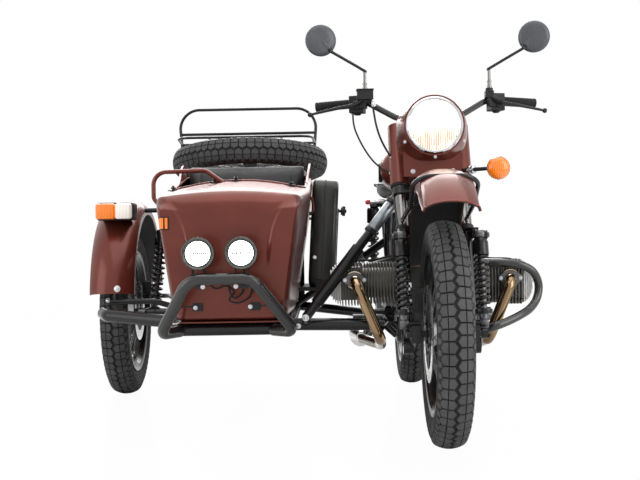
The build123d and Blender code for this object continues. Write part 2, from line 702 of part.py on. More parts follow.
with BuildPart() as struts:
    rod((-CRADLE_X - 50, STRUT_Y, SIDE_FRAME_Z - 6), (-CRADLE_X - TUBE_R + 4, STRUT_Y, CRADLE_Z + 14), 15.0)
    rod((-CRADLE_X - 92, 1101, 330), (-CRADLE_X - 18, PIVOT_Y, PIVOT_Z), 15.0)
    # columns: foot on the sidecar frame, top on the motorcycle's
    for low, high in [((-429, 362, 372), (-112, 474, 772)), ((-458, 1480, 368), (-112, 1172, 620))]:
        way = (Vector(*high) - Vector(*low)).normalized()
        rod(low, high, 16.0)
        rod(Vector(*low) + way * 60, Vector(*low) + way * 300, 21.0)
    rod((-118, 475, 768), (-48, 469, 768), 13.0)
    rod((-429, 358, 370), (-429, STRUT_Y, SIDE_FRAME_Z + 4), 14.0)
    cut_by(side_frame, frame, swingarm)
keep("sidecar_struts", struts)

with BuildPart() as side_arm:
    rod((-1034, 990, SIDE_FRAME_Z + 5), (-1034, 1010, SIDE_FRAME_Z + 5), 30.0)
    tube([(-1060, 1000, SIDE_FRAME_Z + 5), (-1104, 1100, 346), (-1104, 1285, TYRE_R)], 18.0, 50)
    rod((-1034, 1000, SIDE_FRAME_Z + 5), (-1064, 1000, SIDE_FRAME_Z + 5), 20.0)
    rod((-1086, WHEELBASE - SIDE_LEAD, TYRE_R), (-1262, WHEELBASE - SIDE_LEAD, TYRE_R), AXLE_R)
    block((-1104, WHEELBASE - SIDE_LEAD, TYRE_R), (22, 64, 60))
    cut_by(side_frame)
keep("side_arm", side_arm)

with BuildPart() as rear_shocks:
    for side in SIDES.values():
        low, high = (side * REAR_SHOCK_X, *REAR_SHOCK_LOW), (side * REAR_SHOCK_X, *REAR_SHOCK_HIGH)
        shock(low, high, 11.0, 24.0, 4.0, 10, 80, 26.0)
        rod((side * (REAR_SHOCK_X - 14), *REAR_SHOCK_LOW), (side * (REAR_SHOCK_X + 14), *REAR_SHOCK_LOW), 17.0)
        rod((side * (RAIL_X + 13.3), *REAR_SHOCK_HIGH), (side * (REAR_SHOCK_X + 14), *REAR_SHOCK_HIGH), 14.0)
    shock((-1070, 1210, 350), (-1030, 1236, 690), 11.0, 26.0, 4.0, 11, 80, 28.0)
    rod((-1070, 1210, 350), (-1100, 1210, 346), 12.0)
    cut_by(side_arm, swingarm, frame)
keep("rear_shocks", rear_shocks)

with BuildPart() as rear_calipers:
    rear_y, side_y = WHEELBASE - 40, WHEELBASE - SIDE_LEAD + 76
    block((80, rear_y, TYRE_R + 108), (44, 80, 56))
    block((HUB_W / 2 + DISC_T / 2, rear_y, TYRE_R + 92), (DISC_T + 10, 100, 74), mode=Mode.SUBTRACT)
    rod((88, rear_y - 6, TYRE_R + 82), (92, rear_y - 20, TYRE_R + 10), 9.0)
    block((-1124, side_y, TYRE_R + 84), (44, 64, 70))
    block((-TRACK + HUB_W / 2 + DISC_T / 2, side_y - 10, TYRE_R + 70), (DISC_T + 10, 110, 120), mode=Mode.SUBTRACT)
    rod((-1108, side_y - 4, TYRE_R + 60), (-1104, side_y - 56, TYRE_R + 6), 9.0)
    cut_by(swingarm, side_arm)
keep("rear_calipers", rear_calipers)

# ---------------------------------------------------------------- sidecar body
# columns: Y, bottom width, top width, bottom Z, side Z, crown Z, corner radius
TUB_SECTIONS = [
    (262, 340, 430, 388, 728, 740, 46),
    (330, 372, 492, 366, 786, 806, 40),
    (720, 392, 536, 366, 808, 850, 30),
    (1200, 396, 540, 366, 880, 922, 34),
    (1700, 380, 520, 392, 820, 858, 44),
    (1960, 250, 380, 470, 740, 764, 56),
]


def tub_loft(wall, mode=Mode.ADD):
    """The sidecar body's outer form, or its inside when wall is above 0."""
    sections = []
    for y, w0, w1, z0, z_side, z_top, corner in TUB_SECTIONS:
        if y == TUB_SECTIONS[0][0]:
            y += wall
        if y == TUB_SECTIONS[-1][0]:
            y -= wall
        with BuildSketch(Plane.XZ.offset(-y)) as section:
            with BuildLine():
                Polyline(
                    (TUB_X + w1 / 2 - wall, z_side - wall),
                    (TUB_X + w0 / 2 - wall, z0 + wall),
                    (TUB_X - w0 / 2 + wall, z0 + wall),
                    (TUB_X - w1 / 2 + wall, z_side - wall),
                )
                ThreePointArc(
                    (TUB_X - w1 / 2 + wall, z_side - wall),
                    (TUB_X, z_top - wall),
                    (TUB_X + w1 / 2 - wall, z_side - wall),
                )
            make_face()
            fillet(vertices(), corner - wall)
        sections.append(section.sketch)
    loft(sections, ruled=True, mode=mode)


with BuildPart() as tub_outside:
    tub_loft(0)

with BuildPart() as tub_inside:
    tub_loft(TUB_WALL)

BULKHEAD_Y = 1236.0
LID_Y0, LID_Y1, LID_HALF_W, LID_GAP = 1290.0, 1760.0, 205.0, 3.0
COCKPIT_Y0, COCKPIT_Y1, COCKPIT_HALF_W = 735.0, 1190.0, 244.0
# the cockpit and the boot, with the bulkhead left between them
with BuildPart() as hollows:
    add(tub_inside.part)
    block((TUB_X, BULKHEAD_Y, 600), (900, 2 * TUB_WALL, 900), mode=Mode.SUBTRACT)

HINGE_Y, HINGE_Z, HINGE_X, HINGE_R, HINGE_W = 1289.0, 914.0, 120.0, 6.0, 40.0
with BuildPart() as tub:
    add(tub_outside.part)
    cut_by(hollows)
    with BuildSketch(Plane.XY.offset(640)):
        with Locations((TUB_X, (COCKPIT_Y0 + COCKPIT_Y1) / 2)):
            RectangleRounded(2 * COCKPIT_HALF_W, COCKPIT_Y1 - COCKPIT_Y0, 60)
    extrude(amount=400, mode=Mode.SUBTRACT)
    with BuildSketch(Plane.XY.offset(640)):
        with Locations((TUB_X, (LID_Y0 + LID_Y1) / 2)):
            RectangleRounded(2 * LID_HALF_W, LID_Y1 - LID_Y0, 50)
    extrude(amount=400, mode=Mode.SUBTRACT)
    for side in SIDES.values():
        for ear in SIDES.values():
            ear_x = TUB_X + side * HINGE_X + ear * (HINGE_W / 2 + SEAT_GAP + 4)
            block((ear_x, HINGE_Y - 4, HINGE_Z - 6), (8, 13, 24))
    cut_by(side_frame)
keep("sidecar_tub", tub)

with BuildPart() as nose_lamps:
    for lamp_x in (TUB_X - 84, TUB_X + 52):
        with BuildSketch(Plane(origin=(lamp_x, 175, 598), x_dir=(0, -1, 0), z_dir=(1, 0, 0))):
            with BuildLine():
                Line((0, 0), (60, 0))
                ThreePointArc((60, 0), (57, 30), (50, 55))
                Polyline((50, 55), (30, 57), (0, 22), (0, 0))
            make_face()
        revolve(axis=Axis((lamp_x, 175, 598), (0, 1, 0)))
        rod((lamp_x, 150, 560), (lamp_x, 132, 534.3), 9.0)

with BuildPart() as nose_bar:
    tube(
        [
            (OUTER_RAIL_X + 60, 303, SIDE_FRAME_Z - 8),
            (OUTER_RAIL_X + 12, 205, SIDE_FRAME_Z - 8),
            (TUB_X - 116, 130, 515),
            (TUB_X + 86, 130, 515),
            (INNER_RAIL_X + 24, 226, SIDE_FRAME_Z - 8),
            (INNER_RAIL_X - 50, 303, SIDE_FRAME_Z - 8),
        ],
        19.0,
        [36, 70, 70, 36],
    )
    cut_by(side_frame, nose_lamps)
keep("nose_bar", nose_bar)

# the post on the boot lid that carries the spare wheel
spare_down = Vector(0, -sin(radians(SPARE_TILT)), -cos(radians(SPARE_TILT)))
spare_hub = Vector(TUB_X - 14, SPARE_Y, SPARE_Z)
with BuildPart() as spare_carrier:
    rod(spare_hub + spare_down * (HUB_W / 2 + SEAT_GAP), spare_hub + spare_down * 160, 38.0)
    rod(spare_hub + spare_down * 60, spare_hub - spare_down * 64, AXLE_R - AXLE_FIT)
    rod(spare_hub - spare_down * (HUB_W / 2 + SEAT_GAP), spare_hub - spare_down * 62, 24.0)
    cut_by(tub_outside)

# the boot lid is the piece of the body's own skin that fills its opening
with BuildPart() as boot_lid:
    add(tub_outside.part)
    cut_by(tub_inside)
    with BuildSketch(Plane.XY.offset(640)):
        with Locations((TUB_X, (LID_Y0 + LID_Y1) / 2)):
            RectangleRounded(2 * (LID_HALF_W - LID_GAP), LID_Y1 - LID_Y0 - 2 * LID_GAP, 50 - LID_GAP)
    extrude(amount=400, mode=Mode.INTERSECT)
    for side in SIDES.values():
        hinge_x = TUB_X + side * HINGE_X
        rod((hinge_x - HINGE_W / 2, HINGE_Y, HINGE_Z), (hinge_x + HINGE_W / 2, HINGE_Y, HINGE_Z), HINGE_R)
        block((hinge_x, HINGE_Y + 20, HINGE_Z - 10), (HINGE_W, 30, 16))
    add(spare_carrier.part)
keep("boot_lid", boot_lid)

spare_place = Location((TUB_X - 14, SPARE_Y, SPARE_Z), (-SPARE_TILT, 90, 0))
for kind, source in (("tyre", tyre), ("wheel", rim)):
    with BuildPart() as piece:
        with Locations(spare_place):
            add(source.part)
    keep(f"spare_{kind}", piece)

RACK_R = 7.0
with BuildPart() as rack:
    rack_x0, rack_x1 = -1043.0, -391.0
    tube(
        [
            (TUB_X - 186, 1735, 826),
            (rack_x0 + 90, 1850, 880),
            (rack_x0 + 42, 1884, 950),
            (rack_x0 + 14, 1890, 1068),
            (rack_x0, 1890, 1243),
            (rack_x1, 1890, 1243),
            (rack_x1 - 14, 1890, 1068),
            (rack_x1 - 42, 1884, 950),
            (rack_x1 - 90, 1850, 880),
            (TUB_X + 186, 1735, 826),
        ],
        RACK_R,
        [24, 40, 60, 90, 90, 60, 40, 24],
    )
    rod((rack_x0 + 10, 1890, 1128), (rack_x1 - 10, 1890, 1128), RACK_R)
    tube(
        [
            (rack_x0 + 14, 1890, 1080),
            (rack_x0 + 24, 1650, 1092),
            (rack_x1 - 24, 1650, 1092),
            (rack_x1 - 14, 1890, 1080),
        ],
        6.0,
        60,
    )
    rod((rack_x0 + 13, 1890, 1080), (rack_x1 - 13, 1890, 1080), 6.0)
    for bar in range(1, 4):
        bar_x = rack_x0 + (rack_x1 - rack_x0) * bar / 4
        rod((bar_x, 1650, 1092), (bar_x, 1890, 1080), 5.0)
    cut_by(tub_outside)
keep("luggage_rack", rack)

# seat of the sidecar: a cushion on the floor and a back against the bulkhead
with BuildPart() as side_cushion:
    floor_z = TUB_SECTIONS[2][3] + TUB_WALL + SEAT_GAP
    with BuildSketch(Plane.XY.offset(floor_z)):
        with Locations((TUB_X, 960)):
            RectangleRounded(352, 330, 40)
    extrude(amount=580 - floor_z)
    fillet(side_cushion.edges().group_by(Axis.Z)[-1], 24)
    tub_loft(TUB_WALL + SEAT_GAP, Mode.INTERSECT)
keep("sidecar_cushion", side_cushion)

with BuildPart() as side_back:
    with BuildSketch(Plane.XY.offset(586)):
        with Locations((TUB_X, 1175)):
            RectangleRounded(424, 96, 30)
    with BuildSketch(Plane.XY.offset(936)):
        with Locations((TUB_X, 1180)):
            RectangleRounded(482, 76, 30)
    loft()
    cut_by(tub)
keep("sidecar_backrest", side_back)

with BuildPart() as rail:
    tube(
        [
            (TUB_X - 262, 705, 735),
            (TUB_X - 309, 705, 790),
            (TUB_X - 309, 705, 886),
            (TUB_X - 118, 705, 890),
            (TUB_X - 56, 700, 846),
        ],
        8.0,
        [24, 48, 36],
    )
    cut_by(tub_outside)
keep("grab_rail", rail)

# jerry can: a slim ten-litre one, leaning with the body's side
CAN_T, CAN_L, CAN_H, CAN_LEAN = 104.0, 345.0, 430.0, 3.5
can_plane = Plane(
    origin=(-354 - CAN_H * sin(radians(CAN_LEAN)), 985, 438),
    x_dir=(0, 1, 0),
    z_dir=(cos(radians(CAN_LEAN)), 0, -sin(radians(CAN_LEAN))),
)
with BuildPart() as jerry_can:
    with BuildSketch(can_plane.offset(-CAN_T / 2)) as can_outline:
        with Locations((CAN_L / 2, CAN_H / 2)):
            RectangleRounded(CAN_L, CAN_H, 46)
    extrude(amount=CAN_T)
    fillet(jerry_can.faces().sort_by(Axis.X)[0].edges(), 18)
    fillet(jerry_can.faces().sort_by(Axis.X)[-1].edges(), 18)
keep("jerry_can", jerry_can)

with BuildPart() as can_holder:
    block((-392, 1158, 434), (150, 330, 12))
    rod((-392, 1080, 429), (INNER_RAIL_X, 1080, 366), 9.0)
    rod((-392, 1280, 429), (INNER_RAIL_X, 1280, 366), 9.0)
    cut_by(side_frame, tub_outside)
    cut_by(jerry_can)

SIDE_GUARD_X, SIDE_GUARD_Y, SIDE_GUARD_Z, SIDE_GUARD_R = -1187.0, 1300.0, 384.0, 425.0
with BuildPart() as side_guard:
    arc_guard((SIDE_GUARD_Y, SIDE_GUARD_Z), SIDE_GUARD_R, 7, 172, 86, 66, SIDE_GUARD_X)
    cut_by(side_arm, rear_shocks)
keep("sidecar_mudguard", side_guard)

with BuildPart() as guard_stays:
    tube([(OUTER_RAIL_X, 905, SIDE_FRAME_Z + 24), (-1020, 900, 404), (-1190, 898, 404)], 11.0, 40)
    rod((-1168, 898, 404), (-1168, 898, 436), 8.0)
    tube([(-1018, 1500, 372), (-1080, 1720, 380), (-1187, 1726, 380)], 11.0, 40)
    rod((OUTER_RAIL_X, 1500, SIDE_FRAME_Z + 16), (-1024, 1500, 372), 11.0)
    rod((OUTER_RAIL_X - 8, 1236, 760), (-1105, 1236, 760), 10.0)
    rod((-1030, 1236, 700), (-1030, 1236, 760), 12.0)
    cut_by(side_frame, side_guard, rear_shocks, tub_outside)
    add(can_holder.part)
keep("sidecar_brackets", guard_stays)

with BuildPart() as fender_lamp:
    for y, width, z0, z1 in [(934, 140, 716, 786), (1070, 150, 712, 800)]:
        with BuildSketch(Plane.XZ.offset(-y)):
            with Locations((SIDE_GUARD_X + 8, (z0 + z1) / 2)):
                RectangleRounded(width, z1 - z0, 14)
    loft()
    with Locations((SIDE_GUARD_X, SIDE_GUARD_Y, SIDE_GUARD_Z)):
        Cylinder(SIDE_GUARD_R + SEAT_GAP, 400, rotation=(0, 90, 0), mode=Mode.SUBTRACT)
    add(nose_lamps.part)
keep("sidecar_lamps", fender_lamp)

# ---------------------------------------------------------------- write the pieces
os.makedirs("parts", exist_ok=True)
to_frame = Location((-ORIGIN_X, -ORIGIN_Y, 0))
for name, builder in pieces.items():
    placed = builder.part.moved(to_frame)
    placed.label = name
    export_step(placed, f"parts/{name}.step")
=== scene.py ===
"""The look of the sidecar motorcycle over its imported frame.

Shapes are given in the machine's own millimetres: zero on the floor under the front axle, X to the rider's
left, Y rearward, Z up. at() turns them into the frame's metres.
"""

from math import cos, hypot, pi, radians, sin, sqrt, tan, tau

import bmesh
import bpy
from mathutils import Matrix, Vector
from mathutils.bvhtree import BVHTree


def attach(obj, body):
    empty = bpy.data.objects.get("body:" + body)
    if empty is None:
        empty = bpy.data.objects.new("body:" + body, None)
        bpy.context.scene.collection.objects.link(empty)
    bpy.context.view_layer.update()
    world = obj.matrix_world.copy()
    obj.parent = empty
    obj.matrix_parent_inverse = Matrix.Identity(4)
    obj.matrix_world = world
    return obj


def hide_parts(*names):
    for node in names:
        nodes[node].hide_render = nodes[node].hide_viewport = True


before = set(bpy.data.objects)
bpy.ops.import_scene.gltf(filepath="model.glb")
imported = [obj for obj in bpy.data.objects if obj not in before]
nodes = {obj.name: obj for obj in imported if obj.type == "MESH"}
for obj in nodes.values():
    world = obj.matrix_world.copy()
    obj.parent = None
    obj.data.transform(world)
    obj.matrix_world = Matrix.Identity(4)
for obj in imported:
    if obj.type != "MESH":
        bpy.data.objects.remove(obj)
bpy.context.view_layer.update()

ORIGIN = Vector((-428.3, 808.5, 0.0))
WHEELBASE, TRACK, SIDE_LEAD = 1475.0, 1195.0, 190.0
TYRE_R = 343.0
RAKE, TRAIL = 27.0, 40.0
FORK_X = 105
HEADLAMP_AT = (0, 284, 996)
INDICATOR_AT = (200, 204, 853)
LID_PITCH = radians(7.5)
# the cylinders: side and Y
CYLINDERS = ((1, 474), (-1, 512))
CYLINDER_Z = 478
# where the four corners of a rounded rectangle stand, and the angle where each one's arc starts
CORNERS = ((1, 1, 0), (-1, 1, 90), (-1, -1, 180), (1, -1, 270))
NEAR_E = 2.718
# the edge angle in degrees over which the body's skin stays sharp
TUB_CREASE = 30.0
# the cushions: grid in metres, cloth pressure, frames of swelling
PAD_GRID, PAD_PRESSURE, PAD_FRAMES = 0.006, 4.0, 20
MERGE = 2e-6


def at(point):
    """A point of the machine in the frame's metres."""
    return (Vector(point) - ORIGIN) / 1000


def steer_y(z):
    """Y of the steering axis at height z."""
    return z * tan(radians(RAKE)) - TRAIL


def linked(name, data):
    """A new object of its data, in the scene."""
    thing = bpy.data.objects.new(name, data)
    bpy.context.scene.collection.objects.link(thing)
    return thing


# ---------------------------------------------------------------- camera
CAMERA_AT = (-350.0, -3390.0, 655.0)
camera_data = bpy.data.cameras.new("camera")
camera_data.sensor_width = 36.0
camera_data.lens = 63.0
camera = linked("camera", camera_data)
yaw, pitch, roll = radians(0.41), radians(-0.37), radians(-1.0)
camera.matrix_world = (
    Matrix.Translation(at(CAMERA_AT))
    @ Matrix.Rotation(yaw, 4, "Z")
    @ Matrix.Rotation(pi / 2 + pitch, 4, "X")
    @ Matrix.Rotation(roll, 4, "Z")
)
bpy.context.scene.camera = camera
bpy.context.scene.view_settings.view_transform = "Standard"


# ---------------------------------------------------------------- materials
def material(name, base, metallic=0.0, rough=0.5, coat=0.0, coat_rough=0.05, specular=0.5, ior=1.5, sheen=0.0):
    """A material with its shader's plain settings, and its node tree for what is added."""
    made = bpy.data.materials.new(name)
    made.use_nodes = True
    shader = made.node_tree.nodes["Principled BSDF"]
    for socket, value in (
        ("Base Color", (*base, 1)),
        ("Metallic", metallic),
        ("Roughness", rough),
        ("Coat Weight", coat),
        ("Coat Roughness", coat_rough),
        ("Specular IOR Level", specular),
        ("IOR", ior),
        ("Sheen Weight", sheen),
    ):
        shader.inputs[socket].default_value = value
    return made, made.node_tree, shader


def noise(tree, scale, detail=3.0, roughness=0.55, stretch=(1, 1, 1)):
    """A noise texture laid on the object's own coordinates; scale is per metre."""
    place = tree.nodes.new("ShaderNodeTexCoord")
    spread = tree.nodes.new("ShaderNodeMapping")
    spread.inputs["Scale"].default_value = stretch
    texture = tree.nodes.new("ShaderNodeTexNoise")
    texture.inputs["Scale"].default_value = scale
    texture.inputs["Detail"].default_value = detail
    texture.inputs["Roughness"].default_value = roughness
    tree.links.new(place.outputs["Object"], spread.inputs["Vector"])
    tree.links.new(spread.outputs["Vector"], texture.inputs["Vector"])
    return texture.outputs["Fac"]


def ramp(tree, source, stops):
    """Colours along a 0 to 1 value; stops are (place, colour)."""
    colours = tree.nodes.new("ShaderNodeValToRGB")
    band = colours.color_ramp
    while len(band.elements) < len(stops):
        band.elements.new(0.5)
    for element, (place, colour) in zip(band.elements, stops):
        element.position = place
        element.color = (*colour, 1)
    tree.links.new(source, colours.inputs["Fac"])
    return colours.outputs["Color"]


def span(tree, source, low, high, lowest, highest):
    """Maps low..high of a value to lowest..highest."""
    change = tree.nodes.new("ShaderNodeMapRange")
    for socket, value in (("From Min", low), ("From Max", high), ("To Min", lowest), ("To Max", highest)):
        change.inputs[socket].default_value = value
    tree.links.new(source, change.inputs["Value"])
    return change.outputs["Result"]


def bump(tree, shader, height, strength, distance):
    """Raises the surface by a value."""
    node = tree.nodes.new("ShaderNodeBump")
    node.inputs["Strength"].default_value = strength
    node.inputs["Distance"].default_value = distance
    tree.links.new(height, node.inputs["Height"])
    tree.links.new(node.outputs["Normal"], shader.inputs["Normal"])


def finish(name, dark, light, rough, metallic=0.0, tone=9.0, grain=400.0, grain_height=0.0002, strength=0.2, **more):
    """A common finish: two tones in soft clouds, roughness that varies with them, and a fine grain."""
    made, tree, shader = material(name, light, metallic, rough[0], **more)
    clouds = noise(tree, tone, 5.0)
    tree.links.new(ramp(tree, clouds, [(0.3, dark), (0.7, light)]), shader.inputs["Base Color"])
    tree.links.new(span(tree, noise(tree, tone * 4, 4.0), 0.3, 0.7, *rough), shader.inputs["Roughness"])
    bump(tree, shader, noise(tree, grain, 2.0), strength, grain_height)
    return made


MAROON = finish("maroon_satin", (0.128, 0.027, 0.017), (0.160, 0.034, 0.022), (0.30, 0.40), metallic=0.5, grain=900,
    grain_height=0.0001, strength=0.008, coat=0.4, coat_rough=0.16, specular=0.18)
# near-black material for the insides of the body and the mudguards: painted shade where their hollows fall dark
SHADE_LINING = finish("painted_shade_lining", (0.014, 0.013, 0.013), (0.026, 0.024, 0.024), (0.7, 0.85), grain=900, strength=0.3)
BLACK = finish("black_gloss", (0.006, 0.006, 0.0065), (0.011, 0.011, 0.012), (0.16, 0.26), grain=700, strength=0.04,
    specular=0.38)
IRON = finish("black_satin", (0.010, 0.010, 0.011), (0.019, 0.019, 0.020), (0.36, 0.5), grain=1600,
    grain_height=0.0003, strength=0.2, specular=0.3)
PLASTIC = finish("black_plastic", (0.010, 0.010, 0.010), (0.018, 0.018, 0.018), (0.42, 0.56), grain=2600,
    grain_height=0.0003, strength=0.3, specular=0.3)
RUBBER = finish("black_rubber", (0.009, 0.009, 0.009), (0.018, 0.018, 0.018), (0.6, 0.78), grain=1200, strength=0.3,
    specular=0.25)
ALLOY = finish("cast_alloy", (0.26, 0.265, 0.27), (0.42, 0.42, 0.41), (0.42, 0.6), metallic=0.85, grain=1400,
    grain_height=0.0004, strength=0.5)
# the cast alloy made darker for the cylinders: painted shade between the fins
SHADED_FIN_ALLOY = finish("fin_alloy_painted_shade", (0.10, 0.095, 0.085), (0.22, 0.21, 0.195), (0.42, 0.6), metallic=0.85, grain=1400,
    grain_height=0.0004, strength=0.4)
POLISHED = finish("polished_alloy", (0.5, 0.5, 0.5), (0.66, 0.66, 0.65), (0.18, 0.3), metallic=1.0, grain=500,
    strength=0.1)
ZINC = finish("zinc", (0.5, 0.51, 0.53), (0.7, 0.71, 0.72), (0.22, 0.36), metallic=1.0, grain=1200, strength=0.15)
CHROME = finish("chrome", (0.6, 0.6, 0.62), (0.72, 0.72, 0.73), (0.05, 0.12), metallic=1.0, grain=300, strength=0.03)
DARK_STEEL = finish("dark_steel", (0.09, 0.09, 0.095), (0.16, 0.16, 0.165), (0.3, 0.45), metallic=0.9, grain=900,
    strength=0.2)
CAN_PAINT = finish("dark_olive", (0.012, 0.013, 0.011), (0.024, 0.025, 0.021), (0.3, 0.44), grain=900,
    strength=0.12, coat=0.2, coat_rough=0.2)
HARD_CHROME = finish("hard_chrome", (0.17, 0.165, 0.16), (0.26, 0.255, 0.25), (0.10, 0.18), metallic=1.0, grain=300,
    strength=0.02)
SLEEVE_ZINC = finish("sleeve_zinc", (0.20, 0.22, 0.24), (0.36, 0.39, 0.42), (0.26, 0.4), metallic=0.9, tone=30,
    grain=900, strength=0.15)
BRIGHT_ALLOY = finish("bright_alloy", (0.62, 0.62, 0.61), (0.80, 0.80, 0.79), (0.38, 0.52), metallic=0.35,
    grain=1400, grain_height=0.0004, strength=0.4)
LAMP_RIM = finish("lamp_rim", (0.05, 0.05, 0.046), (0.10, 0.10, 0.09), (0.2, 0.3), metallic=0.8, grain=500,
    strength=0.05)
TUBE_BLACK = finish("tube_black", (0.012, 0.012, 0.0115), (0.020, 0.0195, 0.019), (0.2, 0.3), grain=900,
    strength=0.03, coat=0.5, coat_rough=0.18, specular=0.4)
MIRROR_BACK = finish("mirror_back", (0.05, 0.053, 0.06), (0.085, 0.09, 0.10), (0.3, 0.42), grain=2000,
    grain_height=0.0003, strength=0.2)
ENGINE_CASE = finish("engine_case", (0.032, 0.032, 0.031), (0.060, 0.059, 0.057), (0.40, 0.56), metallic=0.4,
    grain=1300, grain_height=0.0004, strength=0.4)
SIGHT = finish("mirror_glass", (0.4, 0.42, 0.45), (0.5, 0.52, 0.55), (0.02, 0.05), metallic=1.0, grain=50,
    strength=0.01)


def tyre_rubber(name, dark, light):
    """Tyre compound: dusty in broad clouds, and matte with a fine grain."""
    made, tree, shader = material(name, light, rough=0.8, specular=0.3)
    tree.links.new(ramp(tree, noise(tree, 14.0, 6.0, 0.65), [(0.3, dark), (0.72, light)]), shader.inputs["Base Color"])
    tree.links.new(span(tree, noise(tree, 60.0), 0.3, 0.7, 0.6, 0.82), shader.inputs["Roughness"])
    bump(tree, shader, noise(tree, 900.0, 4.0), 0.4, 0.0004)
    return made


def vinyl():
    """Seat covering: black with a pebble grain."""
    made, tree, shader = material("seat_vinyl", (0.02, 0.02, 0.022), rough=0.5, sheen=0.1)
    tone = noise(tree, 12.0, 4.0)
    tree.links.new(ramp(tree, tone, [(0.3, (0.034, 0.034, 0.036)), (0.7, (0.060, 0.060, 0.062))]),
        shader.inputs["Base Color"])
    tree.links.new(span(tree, noise(tree, 50.0), 0.3, 0.7, 0.42, 0.62), shader.inputs["Roughness"])
    place = tree.nodes.new("ShaderNodeTexCoord")
    cells = tree.nodes.new("ShaderNodeTexVoronoi")
    cells.inputs["Scale"].default_value = 420.0
    tree.links.new(place.outputs["Object"], cells.inputs["Vector"])
    bump(tree, shader, cells.outputs["Distance"], 0.45, 0.0006)
    return made


def header_steel():
    """Exhaust pipe: stainless steel, straw and bronze near the ports, brushed grey behind."""
    made, tree, shader = material("header_steel", (0.6, 0.58, 0.55), metallic=1.0, rough=0.2)
    place = tree.nodes.new("ShaderNodeTexCoord")
    parts = tree.nodes.new("ShaderNodeSeparateXYZ")
    tree.links.new(place.outputs["Object"], parts.inputs["Vector"])
    along = span(tree, parts.outputs["Y"], at((0, 300, 0)).y, at((0, 760, 0)).y, 0.0, 1.0)
    tint = ramp(tree, along, [(0.0, (0.20, 0.135, 0.08)), (0.13, (0.30, 0.20, 0.11)), (0.20, (0.56, 0.44, 0.30)),
        (0.34, (0.74, 0.67, 0.57)), (1.0, (0.58, 0.57, 0.56))])
    tree.links.new(tint, shader.inputs["Base Color"])
    tree.links.new(span(tree, noise(tree, 30.0, 5.0), 0.3, 0.7, 0.1, 0.2), shader.inputs["Roughness"])
    bump(tree, shader, noise(tree, 240.0, 2.0), 0.02, 0.0002)
    return made


def glow(name, colour, strength, rim=(0.2, 0.2, 0.2)):
    """A lit lens."""
    made, tree, shader = material(name, rim, rough=0.15)
    shader.inputs["Emission Strength"].default_value = strength
    tree.links.new(
        ramp(tree, noise(tree, 260.0, 2.0), [(0.35, tuple(0.8 * c for c in colour)), (0.65, colour)]),
        shader.inputs["Emission Color"],
    )
    return made


def fluted_glow():
    """The lit headlamp: warm white, with the reflector's upright flutes showing in its lower half."""
    made, tree, shader = material("headlamp_glow", (0.10, 0.095, 0.09), rough=0.12)
    shader.inputs["Emission Strength"].default_value = 4.0
    place = tree.nodes.new("ShaderNodeTexCoord")
    flutes = tree.nodes.new("ShaderNodeTexWave")
    flutes.inputs["Scale"].default_value = 44.0
    flutes.inputs["Distortion"].default_value = 1.5
    flutes.inputs["Detail Scale"].default_value = 3.0
    tree.links.new(place.outputs["Object"], flutes.inputs["Vector"])
    parts = tree.nodes.new("ShaderNodeSeparateXYZ")
    tree.links.new(place.outputs["Object"], parts.inputs["Vector"])
    below = span(tree, parts.outputs["Z"], 0.990, 0.962, 0.0, 1.0)
    broken = tree.nodes.new("ShaderNodeMath")
    broken.operation = "MULTIPLY"
    tree.links.new(below, broken.inputs[0])
    tree.links.new(span(tree, noise(tree, 45.0, 2.0), 0.36, 0.52, 0.0, 1.0), broken.inputs[1])
    shown = tree.nodes.new("ShaderNodeMath")
    shown.operation = "MULTIPLY"
    tree.links.new(broken.outputs[0], shown.inputs[0])
    tree.links.new(flutes.outputs["Fac"], shown.inputs[1])
    tree.links.new(ramp(tree, shown.outputs[0], [(0.0, (1.0, 0.93, 0.80)), (0.12, (0.34, 0.25, 0.17)),
        (0.5, (0.19, 0.11, 0.06))]), shader.inputs["Emission Color"])
    return made


def tinted(name, dark, light, strength=0.0):
    """A coloured lens with a moulded, ribbed inside."""
    made, tree, shader = material(name, light, rough=0.12, coat=0.6)
    place = tree.nodes.new("ShaderNodeTexCoord")
    ribs = tree.nodes.new("ShaderNodeTexWave")
    ribs.inputs["Scale"].default_value = 55.0
    ribs.inputs["Distortion"].default_value = 0.3
    tree.links.new(place.outputs["Object"], ribs.inputs["Vector"])
    colour = ramp(tree, ribs.outputs["Fac"], [(0.2, dark), (0.8, light)])
    tree.links.new(colour, shader.inputs["Base Color"])
    tree.links.new(colour, shader.inputs["Emission Color"])
    shader.inputs["Emission Strength"].default_value = strength
    bump(tree, shader, ribs.outputs["Fac"], 0.4, 0.001)
    return made


TYRE = tyre_rubber("tyre_tread", (0.050, 0.050, 0.051), (0.092, 0.092, 0.093))
TYRE_WALL = tyre_rubber("tyre_wall", (0.014, 0.014, 0.014), (0.028, 0.028, 0.028))
VINYL = vinyl()
HEADER = header_steel()
HEAD_GLOW = fluted_glow()
NOSE_GLOW = glow("nose_lamp_glow", (0.95, 0.98, 1.0), 6.0)
AMBER = tinted("amber_lens", (0.66, 0.12, 0.002), (0.92, 0.24, 0.006), 0.28)
CLEAR = tinted("clear_lens", (0.7, 0.62, 0.55), (0.9, 0.85, 0.8), 0.25)
RED = tinted("red_lens", (0.35, 0.01, 0.01), (0.6, 0.03, 0.02), 0.1)


# ---------------------------------------------------------------- making pieces
def soften(points, steps=8):
    """A smooth line through the points."""
    route = [Vector(p) for p in points]
    out, last = [], len(route) - 1
    for i in range(last):
        p0, p1, p2, p3 = route[max(i - 1, 0)], route[i], route[i + 1], route[min(i + 2, last)]
        for k in range(steps):
            t = k / steps
            out.append(
                0.5 * (2 * p1 + (p2 - p0) * t + (2 * p0 - 5 * p1 + 4 * p2 - p3) * t**2
                       + (3 * p1 - p0 - 3 * p2 + p3) * t**3)
            )
    return [*out, route[-1]]


